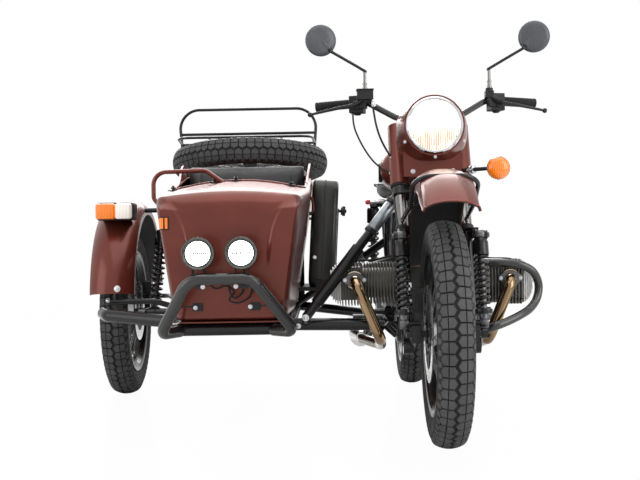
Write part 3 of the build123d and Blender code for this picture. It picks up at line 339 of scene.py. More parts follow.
def crease(work, smooth):
    """Smooth shading everywhere but over edges sharper than an angle in degrees."""
    for face in work.faces:
        face.smooth = True
    for edge in work.edges:
        edge.smooth = not (len(edge.link_faces) == 2 and edge.calc_face_angle(0) > radians(smooth))


def applied(thing):
    """The mesh of an object with its modifiers applied, which it keeps."""
    bpy.context.view_layer.update()
    graph = bpy.context.evaluated_depsgraph_get()
    made = bpy.data.meshes.new_from_object(thing.evaluated_get(graph))
    thing.modifiers.clear()
    thing.data = made
    return made


class Shape:
    """Points and faces gathered in the machine's millimetres, then made into one piece."""

    def __init__(self):
        self.points, self.faces = [], []

    def add(self, points, faces):
        base = len(self.points)
        self.points += [Vector(p) for p in points]
        self.faces += [tuple(base + i for i in face) for face in faces]
        return self

    def lathe(self, centre, axis, profile, segments=40, closed=False):
        """Turns a profile of (along, radius) pairs about an axis through centre."""
        centre, axis = Vector(centre), Vector(axis).normalized()
        side = Vector((0, 0, 1)) if abs(axis.z) < 0.9 else Vector((0, 1, 0))
        side = (side - axis * side.dot(axis)).normalized()
        other = axis.cross(side)
        count, points, faces = len(profile), [], []
        for k in range(segments):
            angle = tau * k / segments
            out = side * cos(angle) + other * sin(angle)
            points += [centre + axis * along + out * radius for along, radius in profile]
        for k in range(segments):
            here, there = k * count, (k + 1) % segments * count
            for i in range(count if closed else count - 1):
                j = (i + 1) % count
                faces.append((here + i, there + i, there + j, here + j))
        return self.add(points, faces)

    def tube(self, points, radius, sides=12, closed=False):
        """A round bar along a line; radius is one value or one for each point."""
        route = [Vector(p) for p in points]
        radii = radius if isinstance(radius, (list, tuple)) else [radius] * len(route)
        count = len(route)
        way = (route[1] - route[0]).normalized()
        side = way.orthogonal().normalized()
        rings, faces = [], []
        for i, p in enumerate(route):
            ahead = route[(i + 1) % count] if closed or i < count - 1 else p
            behind = route[i - 1] if closed or i else p
            turned = (ahead - behind).normalized()
            side = (side - turned * side.dot(turned)).normalized()
            other = turned.cross(side)
            rings += [p + (side * cos(tau * k / sides) + other * sin(tau * k / sides)) * radii[i] for k in range(sides)]
        for i in range(count if closed else count - 1):
            for k in range(sides):
                here, there = i * sides, (i + 1) % count * sides
                faces.append((here + k, here + (k + 1) % sides, there + (k + 1) % sides, there + k))
        if not closed:
            faces += [tuple(reversed(range(sides))), tuple((count - 1) * sides + k for k in range(sides))]
        return self.add(rings, faces)

    def box(self, centre, size, turn=None):
        """A block about a centre; turn is a rotation matrix."""
        half = Vector(size) / 2
        corners = [Vector((x, y, z)) for x in (-half.x, half.x) for y in (-half.y, half.y) for z in (-half.z, half.z)]
        if turn:
            corners = [turn @ c for c in corners]
        faces = [(0, 1, 3, 2), (4, 6, 7, 5), (0, 4, 5, 1), (2, 3, 7, 6), (0, 2, 6, 4), (1, 5, 7, 3)]
        return self.add([Vector(centre) + c for c in corners], faces)

    def loft(self, rings, caps=True):
        """Skins rings of points, all of one count."""
        count, faces = len(rings[0]), []
        for i in range(len(rings) - 1):
            for k in range(count):
                m = (k + 1) % count
                faces.append((i * count + k, i * count + m, (i + 1) * count + m, (i + 1) * count + k))
        if caps:
            faces += [tuple(reversed(range(count))), tuple((len(rings) - 1) * count + k for k in range(count))]
        return self.add([p for ring in rings for p in ring], faces)

    def bolt(self, centre, axis, radius=6.0, height=4.0):
        """A hexagon head on its washer; the face it sits on passes through centre."""
        self.lathe(centre, axis, [(0, 0), (0, radius * 1.45), (1.4, radius * 1.45), (1.4, 0)], 20)
        head = [(1.2, 0), (1.2, radius * 1.1), (height, radius * 1.1), (height + 0.8, radius * 0.9), (height + 0.8, 0)]
        return self.lathe(centre, axis, head, 6)

    def make(self, name, finish_of, body, replaces=(), smooth=40.0, bevel=0.0, slot=None):
        """The piece itself, riding on its body."""
        mesh = bpy.data.meshes.new(name)
        mesh.from_pydata([at(p) for p in self.points], [], self.faces)
        work = bmesh.new()
        work.from_mesh(mesh)
        bmesh.ops.remove_doubles(work, verts=work.verts, dist=MERGE)
        bmesh.ops.dissolve_degenerate(work, edges=work.edges, dist=1e-6)
        bmesh.ops.recalc_face_normals(work, faces=work.faces)
        crease(work, smooth)
        work.to_mesh(mesh)
        work.free()
        mesh.materials.append(finish_of)
        thing = linked(name, mesh)
        if bevel:
            edge = thing.modifiers.new("bevel", "BEVEL")
            edge.width = bevel / 1000
            edge.segments = 2
            edge.limit_method = "ANGLE"
            edge.angle_limit = radians(35)
            edge.harden_normals = False
        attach(thing, body)
        if replaces:
            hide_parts(*([replaces] if isinstance(replaces, str) else replaces))
        return thing


# ---------------------------------------------------------------- tyres
def tyre_profile():
    """(distance from the middle, radius) from the crown's middle out to the bead."""
    half, drop = 43.0, 12.0
    crown_r = (half**2 + drop**2) / (2 * drop)
    line = []
    for k in range(10):
        x = half * k / 9
        line.append((x, TYRE_R - crown_r + sqrt(crown_r**2 - x**2)))
    for x, r in ((47.6, 325), (51.4, 316), (53.4, 304), (54.0, 292), (52.8, 280), (49.6, 268), (45.0, 258),
        (40.4, 251)):
        line.append((x, r))
    return line


PROFILE = tyre_profile()
LENGTHS = [0.0]
for before, after in zip(PROFILE, PROFILE[1:]):
    LENGTHS.append(LENGTHS[-1] + hypot(after[0] - before[0], after[1] - before[1]))
TREAD_DEPTH, BLOCKS = 7.5, 62


def on_tyre(s, depth):
    """(x, radius) at arc length s from the crown's middle, depth below the surface."""
    side, s = (1 if s >= 0 else -1), abs(s)
    i = max(k for k in range(len(LENGTHS) - 1) if LENGTHS[k] <= s)
    t = min((s - LENGTHS[i]) / (LENGTHS[i + 1] - LENGTHS[i]), 1.0)
    (x0, r0), (x1, r1) = PROFILE[i], PROFILE[i + 1]
    length = hypot(x1 - x0, r1 - r0)
    normal = (-(r1 - r0) / length, (x1 - x0) / length)
    return side * (x0 + (x1 - x0) * t - normal[0] * depth), r0 + (r1 - r0) * t - normal[1] * depth


def tyre_shape():
    """A tyre's carcass, and its tread of two staggered rows of split hexagons and shoulder lugs."""
    shape = Shape()
    outer = []
    for s in (0, 8, 16, 24, 32, 40, 47, 54, 60, 66):
        outer.append(on_tyre(s, TREAD_DEPTH * (1 if s < 48 else max(0.25, 1 - (s - 48) / 16))))
    outer += [on_tyre(s, d) for s, d in ((74, 0.4), (75, 1.6), (80, 1.6), (81, 0.4), (95, 0.3), (96, 1.2),
        (100, 1.2), (101, 0.3), (106, 0.2))]
    outer += [(40.2, 251), (39.5, 240), (30, 236), (0, 236)]
    ring = outer + [(-x, r) for x, r in reversed(outer[1:-1])]
    carcass = Shape().lathe((0, 0, 0), (1, 0, 0), ring, 124, closed=True)

    def lug(corners):
        """A block of the tread from its (arc length, turn) corners."""
        mid_s = sum(c[0] for c in corners) / len(corners)
        mid_a = sum(c[1] for c in corners) / len(corners)
        rows = []
        for grow, depth in ((1.06, TREAD_DEPTH + 0.5), (1.0, 0.9), (0.93, 0.0)):
            row = []
            for s, a in corners:
                s, a = mid_s + (s - mid_s) * grow, mid_a + (a - mid_a) * grow
                x, r = on_tyre(s, depth)
                row.append((x, -r * sin(a), r * cos(a)))
            rows.append(row)
        n = len(corners)
        faces = [(i * n + k, i * n + (k + 1) % n, (i + 1) * n + (k + 1) % n, (i + 1) * n + k) for i in (0, 1)
            for k in range(n)]
        faces.append(tuple(2 * n + k for k in range(n)))
        shape.add([p for row in rows for p in row], faces)

    pitch = tau / BLOCKS
    half = 14.9 / TYRE_R
    for row in (1, -1):
        for number in range(BLOCKS):
            a = pitch * (number + (0.25 if row > 0 else 0.75))
            for part in (1, -1):
                split, flat, tip = 26 + 1.4 * part, 26 + 16.5 * part, 26 + 25.0 * part
                lug([(row * s, a + t) for s, t in ((split, -half), (flat, -half), (tip, 0), (flat, half),
                    (split, half))])
            b = a + pitch / 2
            lug([(row * s, b + t) for s, t in ((48, -0.2 * pitch), (68, -0.3 * pitch), (68, 0.3 * pitch),
                (48, 0.2 * pitch))])
    return carcass, shape


def wheel_at(centre, turn=None):
    """Maps points about the wheel's own middle to the machine."""
    return Matrix.Translation(centre) @ (turn or Matrix.Identity(4))


SPARE_AT = Vector((-690.0, 1600.0, 968.0))
SPARE_TURN = Matrix.Rotation(-LID_PITCH, 4, "X") @ Matrix.Rotation(radians(90), 4, "Y")
WHEELS = {
    "front": (wheel_at((0, 0, TYRE_R)), "front_roll"),
    "rear": (wheel_at((0, WHEELBASE, TYRE_R)), "rear_roll"),
    "side": (wheel_at((-TRACK, WHEELBASE - SIDE_LEAD, TYRE_R)), "side_roll"),
    "spare": (wheel_at(SPARE_AT, SPARE_TURN), "boot"),
}
# columns: side of the disc, its radius
DISCS = {"front": (-1, 148.0), "rear": (1, 128.0), "side": (1, 122.0)}


def turned(place, shape):
    """Moves what a shape holds from the wheel's own middle to the machine."""
    shape.points = [place @ p for p in shape.points]
    return shape


for wheel, (place, body) in WHEELS.items():
    carcass, tread = tyre_shape()
    turned(place, carcass).make(f"{wheel}_tyre_carcass", TYRE_WALL, body, replaces=f"{wheel}_tyre", smooth=32,
        slot="tyre_rubber")
    turned(place, tread).make(f"{wheel}_tyre_tread", TYRE, body, smooth=32, slot="tyre_rubber")

    half_rim = [(19, 221.5), (24, 232), (38, 233.6), (40, 236), (40.5, 246), (42.5, 250), (45.5, 250.5),
        (47.3, 248), (46.6, 240), (43.5, 233), (39, 229.5), (29, 226), (22.5, 216)]
    rim = Shape().lathe((0, 0, 0), (1, 0, 0), half_rim + [(-x, r) for x, r in reversed(half_rim)], 120, closed=True)
    turned(place, rim).make(f"{wheel}_rim", BLACK, body, replaces=f"{wheel}_wheel", slot="black_paint")

    hub = Shape()
    half_hub = [(0, 33), (30, 34), (37, 38), (40.5, 44), (41.5, 62), (47, 62), (48, 58), (48, 30), (50, 26), (50, 12)]
    hub.lathe((0, 0, 0), (1, 0, 0), half_hub + [(-x, r) for x, r in reversed(half_hub)], 48)
    turned(place, hub).make(f"{wheel}_hub", ALLOY if wheel != "spare" else IRON, body)

    spokes = Shape()
    nipples = Shape()
    for number in range(36):
        near_turn = tau * number / 36
        far_turn = near_turn + radians(26 if number % 4 < 2 else -26)
        edge = 1 if number % 2 else -1
        x0 = edge * (44.5 + (3.4 if number % 4 < 2 else -3.4))
        near = Vector((x0, -57 * sin(near_turn), 57 * cos(near_turn)))
        far = Vector((edge * 7, -216 * sin(far_turn), 216 * cos(far_turn)))
        way = (far - near).normalized()
        spokes.tube([near, near + way * 60, far - way * 16], 1.75, 6)
        nipples.tube([far - way * 20, far - way * 18, far], [2.2, 3.2, 3.4], 8)
    turned(place, spokes).make(f"{wheel}_spokes", DARK_STEEL, body)
    turned(place, nipples).make(f"{wheel}_nipples", ZINC, body)

    if wheel in DISCS:
        side, disc_r = DISCS[wheel]
        plate = Shape()
        sectors = 96
        bands = [disc_r - 40, disc_r - 33, disc_r - 27, disc_r - 20, disc_r - 14, disc_r - 7, disc_r]
        for face_x in (48.2, 53.0):
            for k in range(sectors):
                a0, a1 = tau * k / sectors, tau * (k + 1) / sectors
                for b in range(6):
                    if (b in (1, 3) or b == 5 - 2 * (k % 3 == 1)) and b < 5 and (k + 2 * b) % 4 == 0:
                        continue
                    ring = [(bands[b], a0), (bands[b + 1], a0), (bands[b + 1], a1), (bands[b], a1)]
                    plate.add([(side * face_x, -r * sin(a), r * cos(a)) for r, a in ring], [(0, 1, 2, 3)])
        plate.lathe((0, 0, 0), (1, 0, 0), [(side * 48.2, disc_r), (side * 53.0, disc_r)], sectors)
        plate.lathe((0, 0, 0), (1, 0, 0), [(side * 48.2, disc_r - 40), (side * 53.0, disc_r - 40)], sectors)
        turned(place, plate).make(f"{wheel}_disc", POLISHED, body)
        carrier = Shape()
        carrier.lathe((0, 0, 0), (1, 0, 0), [(side * 48.1, 44), (side * 48.1, 70), (side * 52.4, 70),
            (side * 52.4, 44)], 40, closed=True)
        for k in range(6):
            a = tau * k / 6
            middle = Vector((side * 50.4, -(disc_r + 28) / 2 * sin(a), (disc_r + 28) / 2 * cos(a)))
            carrier.box(middle, (4, 16, disc_r - 96), Matrix.Rotation(a, 3, "X"))
            carrier.bolt((side * 52.4, -57 * sin(a), 57 * cos(a)), (side, 0, 0), 4.5, 3)
        turned(place, carrier).make(f"{wheel}_disc_carrier", IRON, body, bevel=0.6)

# ---------------------------------------------------------------- sidecar body
TUB_X, TUB_WALL = -676.0, 4.0
# columns: Y, bottom width, top width, bottom Z, side Z, crown Z
TUB = [
    (262, 340, 430, 388, 728, 740),
    (330, 372, 492, 366, 786, 806),
    (720, 392, 536, 366, 808, 850),
    (1200, 396, 540, 366, 880, 922),
    (1700, 380, 520, 392, 820, 858),
    (1960, 250, 380, 470, 740, 764),
]
COCKPIT = (735.0, 1190.0, 244.0, 60.0)  # front and back Y, half width, corner
BOOT = (1290.0, 1760.0, 205.0, 50.0)


def tub_row(y):
    """(bottom half width, top half width, bottom Z, side Z, crown Z) at y."""
    for before, after in zip(TUB, TUB[1:]):
        if y <= after[0]:
            t = (y - before[0]) / (after[0] - before[0])
            w0, w1, z0, zs, zc = (a + (b - a) * t for a, b in zip(before[1:], after[1:]))
            return w0 / 2, w1 / 2, z0, zs, zc
    return tuple(v / 2 if k < 2 else v for k, v in enumerate(TUB[-1][1:]))


def deck_z(x, y):
    """Height of the body's top skin, x from the body's middle."""
    _, w1, _, zs, zc = tub_row(y)
    return zs + (zc - zs) * (1 - min(abs(x) / w1, 1) ** 2)


def tub_ring(y, corner):
    """The body's outline at y, from the bottom's middle round to itself."""
    w0, w1, z0, zs, zc = tub_row(y)
    half = [Vector((0, z0))]

    def bend(before, point, after, radius, steps=7):
        a, b = (Vector(before) - Vector(point)).normalized(), (Vector(after) - Vector(point)).normalized()
        turn = pi - a.angle(b)
        reach = radius * tan(turn / 2)
        start, end = Vector(point) + a * reach, Vector(point) + b * reach
        return [
            start * (1 - t) ** 2 + Vector(point) * 2 * t * (1 - t) + end * t**2
            for t in (k / steps for k in range(steps + 1))
        ]

    half += [Vector((w0 * 0.35, z0)), Vector((w0 * 0.65, z0))]
    half += bend((0, z0), (w0, z0), (w1, zs), corner)
    low, high = Vector((w0, z0)), Vector((w1, zs))
    half += [low.lerp(high, t) for t in (0.2, 0.4, 0.6, 0.8)]
    top = [(w1 * s, zs + (zc - zs) * (1 - s**2)) for s in (0.8, 0.6, 0.4, 0.2)]
    half += bend(low, (w1, zs), top[0], corner * 0.8)
    half += [Vector(p) for p in top] + [Vector((0, zc))]
    return half + [Vector((-p.x, p.y)) for p in reversed(half[1:-1])]


CREASE = [(204, 778), (184, 750), (160, 714), (144, 671), (135, 626), (130, 560), (128, 500)]


def crease_x(z):
    """Half the distance between the nose panel's two creases at height z."""
    if z >= CREASE[0][1]:
        return CREASE[0][0]
    for (x0, z0), (x1, z1) in zip(CREASE, CREASE[1:]):
        if z >= z1:
            return x0 + (x1 - x0) * (z0 - z) / (z0 - z1)
    return CREASE[-1][0]


def even(ring, count):
    """The ring's line again, with count points evenly along it."""
    line = [Vector(p) for p in [*ring, ring[0]]]
    marks = [0.0]
    for a, b in zip(line, line[1:]):
        marks.append(marks[-1] + (b - a).length)
    out, i = [], 0
    for k in range(count):
        want = marks[-1] * k / count
        while marks[i + 1] < want:
            i += 1
        t = (want - marks[i]) / max(marks[i + 1] - marks[i], 1e-9)
        out.append(tuple(line[i].lerp(line[i + 1], t)))
    return out


def tub_outer():
    """The body's outer skin, closed, with the creased panel on its nose."""
    shape = Shape()
    stations = [344 + 14 * k for k in range(4)] + [420 + 50 * k for k in range(31)] + [1940, 1957]
    rows = {262: 46, 330: 40, 720: 30, 1200: 34, 1700: 44, 1957: 56}
    marks = sorted(rows)

    def corner_at(y):
        for a, b in zip(marks, marks[1:]):
            if y <= b:
                return rows[a] + (rows[b] - rows[a]) * (y - a) / (b - a)
        return rows[marks[-1]]

    rings = [even([(TUB_X + p.x, y, p.y) for p in tub_ring(y, corner_at(y))], 220) for y in stations]
    count = len(rings[0])
    first = rings[0]
    depth = stations[0] - 262
    insets = [0.7, 1.6, 3, 5, 7.5, 10.5, 14, 18, 23, 29, 36, 44, 53]
    nose = []
    for k in range(len(insets) + 44):
        row = []
        for x, y, z in first:
            dx = x - TUB_X
            end = Vector((0, min(max(z, 480), 660)))
            out = Vector((dx, z)) - end
            reach = out.length
            inset = insets[k] if k < len(insets) else 53 + (reach - 53) * (k - len(insets) + 1) / 44
            w = min(max((z - 742) / 50, 0), 1)
            w = w * w * (3 - 2 * w)
            low = min(max((430 - z) / 30, 0), 1)
            side_r = 20 * reach / max(abs(dx), 40)
            top_r = min(64 * reach / max(abs(out.y), 40), 150)
            low_r = min(20 * reach / max(abs(out.y), 40), 90)
            round_r = side_r + (top_r - side_r) * w + (low_r - side_r) * low * (1 - w)
            t = min(inset / round_r, 1)
            place = end + out * (1 - inset / reach)
            forward = depth * sqrt(1 - (1 - t) ** 2)
            off = abs(place.x) - crease_x(place.y)
            fade = min(max((place.y - 545) / 70, 0), 1) * min(max((806 - place.y) / 24, 0), 1)
            brow = min(max((800 - place.y) / 170, 0), 1)
            outside = 1 / (1 + NEAR_E ** (-off / 1.6))
            recess = (2.5 * brow * brow * (1 - outside) - 4.2 * outside) * fade * (forward / depth) ** 2
            row.append((TUB_X + place.x, y - forward + recess, place.y))
        nose.append(row)
    skins = list(reversed(nose)) + rings
    shape.loft(skins, caps=False)
    tail = skins[-1]
    ring_in = [(TUB_X + (x - TUB_X) * 0.94, y, 615 + (z - 615) * 0.94) for x, y, z in tail]
    shape.add(tail + ring_in, [(k, (k + 1) % count, count + (k + 1) % count, count + k) for k in range(count)])
    shape.add(ring_in, [tuple(range(count))])
    return shape


def opening_corners(y0, y1, half, corner):
    """The middles of an opening's four corner arcs, and the angle where each one starts."""
    return (
        (half - corner, y1 - corner, 0),
        (-half + corner, y1 - corner, 90),
        (-half + corner, y0 + corner, 180),
        (half - corner, y0 + corner, 270),
    )


def rounded_prism(y0, y1, half, corner, z0, z1):
    """An upright prism over a rounded rectangle."""
    outline = []
    for cx, cy, start in opening_corners(y0, y1, half, corner):
        for k in range(9):
            a = radians(start + 90 * k / 8)
            outline.append((TUB_X + cx + corner * cos(a), cy + corner * sin(a)))
    shape = Shape()
    shape.loft([[(x, y, z) for x, y in outline] for z in (z0, z1)])
    return shape


def solid_mesh(shape, name, merge=MERGE):
    """A bare object of a shape, for cutting or swelling."""
    mesh = bpy.data.meshes.new(name)
    mesh.from_pydata([at(p) for p in shape.points], [], shape.faces)
    work = bmesh.new()
    work.from_mesh(mesh)
    bmesh.ops.remove_doubles(work, verts=work.verts, dist=merge)
    bmesh.ops.recalc_face_normals(work, faces=work.faces)
    work.to_mesh(mesh)
    work.free()
    return linked(name, mesh)


def cut_skin(name, body, cutters, wall, materials, replaces, keep=False):
    """The body's skin, wall thick, with openings cut in it, or only what a cutter keeps."""
    thing = solid_mesh(tub_outer(), name)
    for used in materials:
        thing.data.materials.append(used)
    shell = thing.modifiers.new("wall", "SOLIDIFY")
    shell.thickness = wall / 1000
    shell.offset = -1.0
    # the wall's inner face takes the second material, the near-black painted shade
    shell.material_offset = 1
    tools = []
    for number, cutter in enumerate(cutters):
        tool = solid_mesh(cutter, f"{name}_cutter_{number}")
        tools.append(tool)
        cut = thing.modifiers.new(f"cut_{number}", "BOOLEAN")
        cut.operation = "INTERSECT" if keep else "DIFFERENCE"
        cut.solver = "EXACT"
        cut.object = tool
    made = applied(thing)
    for tool in tools:
        bpy.data.objects.remove(tool)
    work = bmesh.new()
    work.from_mesh(made)
    crease(work, TUB_CREASE)
    work.to_mesh(made)
    work.free()
    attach(thing, body)
    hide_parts(replaces)
    return thing


cut_skin("tub_skin", "chassis", [rounded_prism(*COCKPIT, 640, 1040), rounded_prism(*BOOT, 640, 1040)], TUB_WALL,
    [MAROON, SHADE_LINING], "sidecar_tub")
cut_skin("boot_lid_skin", "boot", [rounded_prism(1293, 1757, 202, 47, 640, 1040)], TUB_WALL, [MAROON, SHADE_LINING],
    "boot_lid", keep=True)


def rim_line(y0, y1, half, corner, lift, grow=0.0):
    """A line round an opening, on the deck."""
    line = []
    y0, y1, half = y0 - grow, y1 + grow, half + grow
    for cx, cy, start in opening_corners(y0, y1, half, corner):
        for k in range(9):
            a = radians(start + 90 * k / 8)
            x, y = cx + corner * cos(a), cy + corner * sin(a)
            line.append((TUB_X + x, y, deck_z(x, y) + lift))
        nx, ny = [(-half + corner, y1), (-half, y0 + corner), (half - corner, y0), (half, y1 - corner)][start // 90]
        px, py = line[-1][0] - TUB_X, line[-1][1]
        for k in range(1, 10):
            t = k / 10
            x, y = px + (nx - px) * t, py + (ny - py) * t
            line.append((TUB_X + x, y, deck_z(x, y) + lift))
    return line


coaming = Shape().tube(rim_line(*COCKPIT, 0.5), 5.0, 10, closed=True)
coaming.make("cockpit_edge", MAROON, "chassis")
seal = Shape().tube(rim_line(*BOOT, -1.0, 0.5), 2.0, 8, closed=True)
seal.make("boot_seal", RUBBER, "chassis")

inside = Shape()
inside.box((TUB_X, 1236, 640), (452, 7, 520))
inside.box((TUB_X, 780, 373), (352, 860, 3))
for x in range(-160, 161, 20):
    inside.box((TUB_X + x, 780, 375.6), (9, 850, 2.2))
inside.make("cockpit_floor_mat", RUBBER, "chassis", bevel=0.8)

studs = Shape()
for x in (-238, -85, -8, 194):
    z = deck_z(x, 716)
    studs.lathe((TUB_X + x, 716, z - 1), (0, 0, 1), [(0, 0), (0, 13), (2.2, 13), (4, 6), (9, 5), (10, 9), (15, 9),
        (17, 5), (21, 4.4), (21, 0)], 20)
    studs.box((TUB_X + x, 716, z + 2.4), (40, 12, 3))
studs.make("cover_studs", IRON, "chassis")


def lie_on_tub(x0, x1, z0, z1, proud, deep, steps=10):
    """A thin plate that follows the body's skin over a patch seen from the front."""
    plate = Shape()
    rings = []
    for i in range(steps + 1):
        x = x0 + (x1 - x0) * i / steps
        face = []
        for k in range(steps + 1):
            z = z0 + (z1 - z0) * k / steps
            hit, normal, _, _ = TUB_FORM.ray_cast(Vector((x, 0, z)), Vector((0, 1, 0)))
            if hit is None:
                hit, normal, _, _ = TUB_FORM.find_nearest(Vector((x, 340, z)))
            face.append((hit, -normal))
        outward = [h + n * proud for h, n in face]
        rings.append(outward + [h - n * deep for h, n in reversed(face)])
    plate.loft(rings)
    return plate


form = tub_outer()
TUB_FORM = BVHTree.FromPolygons([Vector(p) for p in form.points], form.faces)
lie_on_tub(-901, -868, 673, 716, 2.0, 2.0).make("reflector_base", PLASTIC, "chassis")
# the amber lens material glows faintly; on this reflector, which is no lamp, the glow is painted light
lie_on_tub(-898, -886, 677, 712, 4.2, 1.0).make("side_reflector", AMBER, "chassis")
lie_on_tub(-881, -872, 677, 712, 4.2, 1.0).make("side_reflector_strip", AMBER, "chassis")

flange = Shape()
flange.box((TUB_X, 302, 368), (330, 74, 5))
flange.make("nose_flange", MAROON, "chassis", bevel=1.0)

hinges = Shape()
for side in (1, -1):
    x = TUB_X + side * 120
    hinges.lathe((x - 20, 1289, 914), (1, 0, 0), [(0, 0), (0, 6), (40, 6), (40, 0)], 18)
    hinges.box((x, 1310, 905.5), (40, 32, 3))
    for bolt_x in (-11, 11):
        hinges.bolt((x + bolt_x, 1314, 907), (0, 0, 1), 3.6, 3)
hinges.make("lid_hinges", IRON, "boot", bevel=0.5)
ears = Shape()
for side in (1, -1):
    for end in (1, -1):
        x = TUB_X + side * 120 + end * 24.3
        ears.box((x, 1285, 909), (8, 13, 22))
ears.make("hinge_ears", IRON, "chassis", bevel=1.0)

carrier = Shape()
down = Vector((0, -sin(LID_PITCH), -cos(LID_PITCH)))
carrier.lathe(SPARE_AT + down * 49, down, [(0, 10), (0, 34), (8, 38), (74, 38)], 32)
carrier.lathe(SPARE_AT - down * 49, -down, [(0, 0), (0, 24), (4, 24), (6, 16), (14, 15), (14, 8), (18, 8), (18, 0)], 24)
carrier.make("spare_post", IRON, "boot")

# ---------------------------------------------------------------- lamps
lens = Shape()
lens.lathe(HEADLAMP_AT, (0, -1, 0), [(73.5, 0), (73.2, 18), (71.6, 38), (68.6, 58), (64.0, 74), (60, 81)], 64)
lens.make("headlamp_lens", HEAD_GLOW, "steering")
ring = Shape()
ring.lathe(HEADLAMP_AT, (0, -1, 0), [(57, 79), (62, 80), (65, 83), (65.5, 88), (62, 92), (56, 94), (40, 95),
    (38, 92)], 72)
ring.make("headlamp_ring", CHROME, "steering", replaces="headlamp")
screws = Shape()
for x, z in ((0, 893), (-96, 944), (96, 944)):
    screws.bolt((x, 220 if x == 0 else 236, z), (0, -1, 0), 3.6, 3.5)
for x, z in ((-66, 852), (66, 852)):
    screws.bolt((x, 306, z), (0, -1, 0), 5.5, 5)
screws.make("nacelle_screws", ZINC, "steering")

lamp_bodies, lamp_lenses, lamp_rims = Shape(), Shape(), Shape()
lamp_bowls, lamp_bars = Shape(), Shape()
for x in (TUB_X - 84, TUB_X + 52):
    lamp_bodies.lathe((x, 175, 596), (0, -1, 0), [(-24, 0), (-22, 20), (-6, 36), (20, 49), (30, 52), (46, 52)], 48)
    for fin_at in (-12, -4, 4, 12):
        lamp_bodies.lathe((x, 175, 596), (0, -1, 0), [(fin_at, 20), (fin_at, 43), (fin_at + 2.4, 43),
            (fin_at + 2.4, 20)], 40)
    lamp_rims.lathe((x, 175, 596), (0, -1, 0), [(44, 52), (50, 53), (54, 51.5), (55, 49), (53, 47)], 56)
    for k in range(-4, 5):
        lamp_bars.box((x + k * 6.6, 118.0, 596), (5.4, 3.0, 5.6 if k % 2 else 7.4))
    lamp_bowls.lathe((x, 175, 596), (0, -1, 0), [(54, 47.4), (50.5, 44), (50, 41), (53, 39)], 56)
    lamp_lenses.lathe((x, 175, 596), (0, -1, 0), [(56, 0), (55.6, 15), (54.6, 28), (52.5, 38), (51, 39.5)], 48)
    for side in (1, -1):
        lamp_bodies.box((x + side * 20, 150, 549), (4, 26, 44))
        lamp_bodies.bolt((x + side * 22, 150, 560), (side, 0, 0), 6, 4)
    lamp_bodies.box((x + 6, 128, 508), (30, 5, 48))
    lamp_bodies.box((x, 140, 530), (48, 30, 4))
lamp_bodies.make("nose_lamp_bodies", IRON, "chassis", bevel=0.8)
lamp_rims.make("nose_lamp_rims", LAMP_RIM, "chassis")
lamp_bars.make("nose_lamp_bars", LAMP_RIM, "chassis")
lamp_lenses.make("nose_lamp_lenses", NOSE_GLOW, "chassis")
lamp_bowls.make("nose_lamp_bowls", LAMP_RIM, "chassis")
lamp_bolts = Shape()
for x in (-746, -642):
    lamp_bolts.bolt((x, 125.5, 491), (0, -1, 0), 5, 4)
for x, z in ((-786, 417), (-607, 418)):
    lamp_bolts.bolt((x, 256.5, z), (0, -1, 0), 5, 4)
lamp_bolts.make("nose_bolts", ZINC, "chassis")
tabs = Shape()
for x0, x1, x2 in ((-872, -780, -772), (-500, -588, -600)):
    tabs.box(((x0 + x1) / 2, 300, 421), (abs(x1 - x0), 78, 5))
    tabs.box(((x1 + x2) / 2 - (3 if x0 < -700 else -3), 259, 419), (34, 5, 26))
tabs.make("nose_tabs", IRON, "chassis", bevel=1.0)
looms = Shape()
for line in (
    [(-752, 178, 566), (-744, 190, 520), (-722, 186, 488), (-700, 176, 484), (-682, 170, 492), (-664, 172, 486),
        (-650, 178, 470)],
    [(-624, 178, 566), (-618, 190, 520), (-626, 186, 470), (-650, 172, 452), (-664, 168, 470), (-668, 166, 494)],
    [(-650, 178, 470), (-668, 180, 446), (-640, 186, 436), (-606, 192, 452), (-596, 214, 480), (-594, 258, 470)],
):
    looms.tube(soften(line, 6), 3.2, 8)
looms.make("nose_wiring", RUBBER, "chassis")

fender_lamp, amber_half, clear_half = Shape(), Shape(), Shape()
lamp_x = -1179.0


def lamp_box(shape, x0, x1, y0, y1, z0, z1, round_by=9):
    """A rounded lens block."""
    cx, cz, hx, hz = (x0 + x1) / 2, (z0 + z1) / 2, (x1 - x0) / 2, (z1 - z0) / 2

    def outline(y, inset):
        row = []
        for sx, sz, start in CORNERS:
            for k in range(6):
                a = radians(start + 90 * k / 5)
                r = max(round_by - inset, 1)
                row.append((cx + sx * (hx - round_by) + r * cos(a), y, cz + sz * (hz - round_by) + r * sin(a)))
        return row

    shape.loft([outline(y1, 0), outline(y0 + 8, 0), outline(y0 + 3, 2), outline(y0, 6)])


lamp_box(amber_half, lamp_x - 69, lamp_x + 6, 930, 962, 722, 782)
lamp_box(clear_half, lamp_x + 7, lamp_x + 69, 930, 962, 722, 782)
lamp_box(fender_lamp, lamp_x - 72, lamp_x + 72, 958, 1064, 717, 787, 12)
fender_lamp.make("mudguard_lamp_body", IRON, "chassis", replaces="sidecar_lamps", bevel=1.0)
amber_half.make("mudguard_lamp_amber", AMBER, "chassis")
clear_half.make("mudguard_lamp_clear", CLEAR, "chassis")
guard_bolts = Shape()
guard_bolts.bolt((-1206, 938, 408), (0, -1, 0.2), 6, 4)
guard_bolts.lathe((-1160, 885.5, 454), (0, -1, 0.17), [(-1, 0), (-1, 13), (2, 13), (2, 0)], 28)
guard_bolts.bolt((-1160, 883.5, 454.3), (0, -1, 0.17), 8, 6)
guard_bolts.make("mudguard_bolts", ZINC, "chassis")

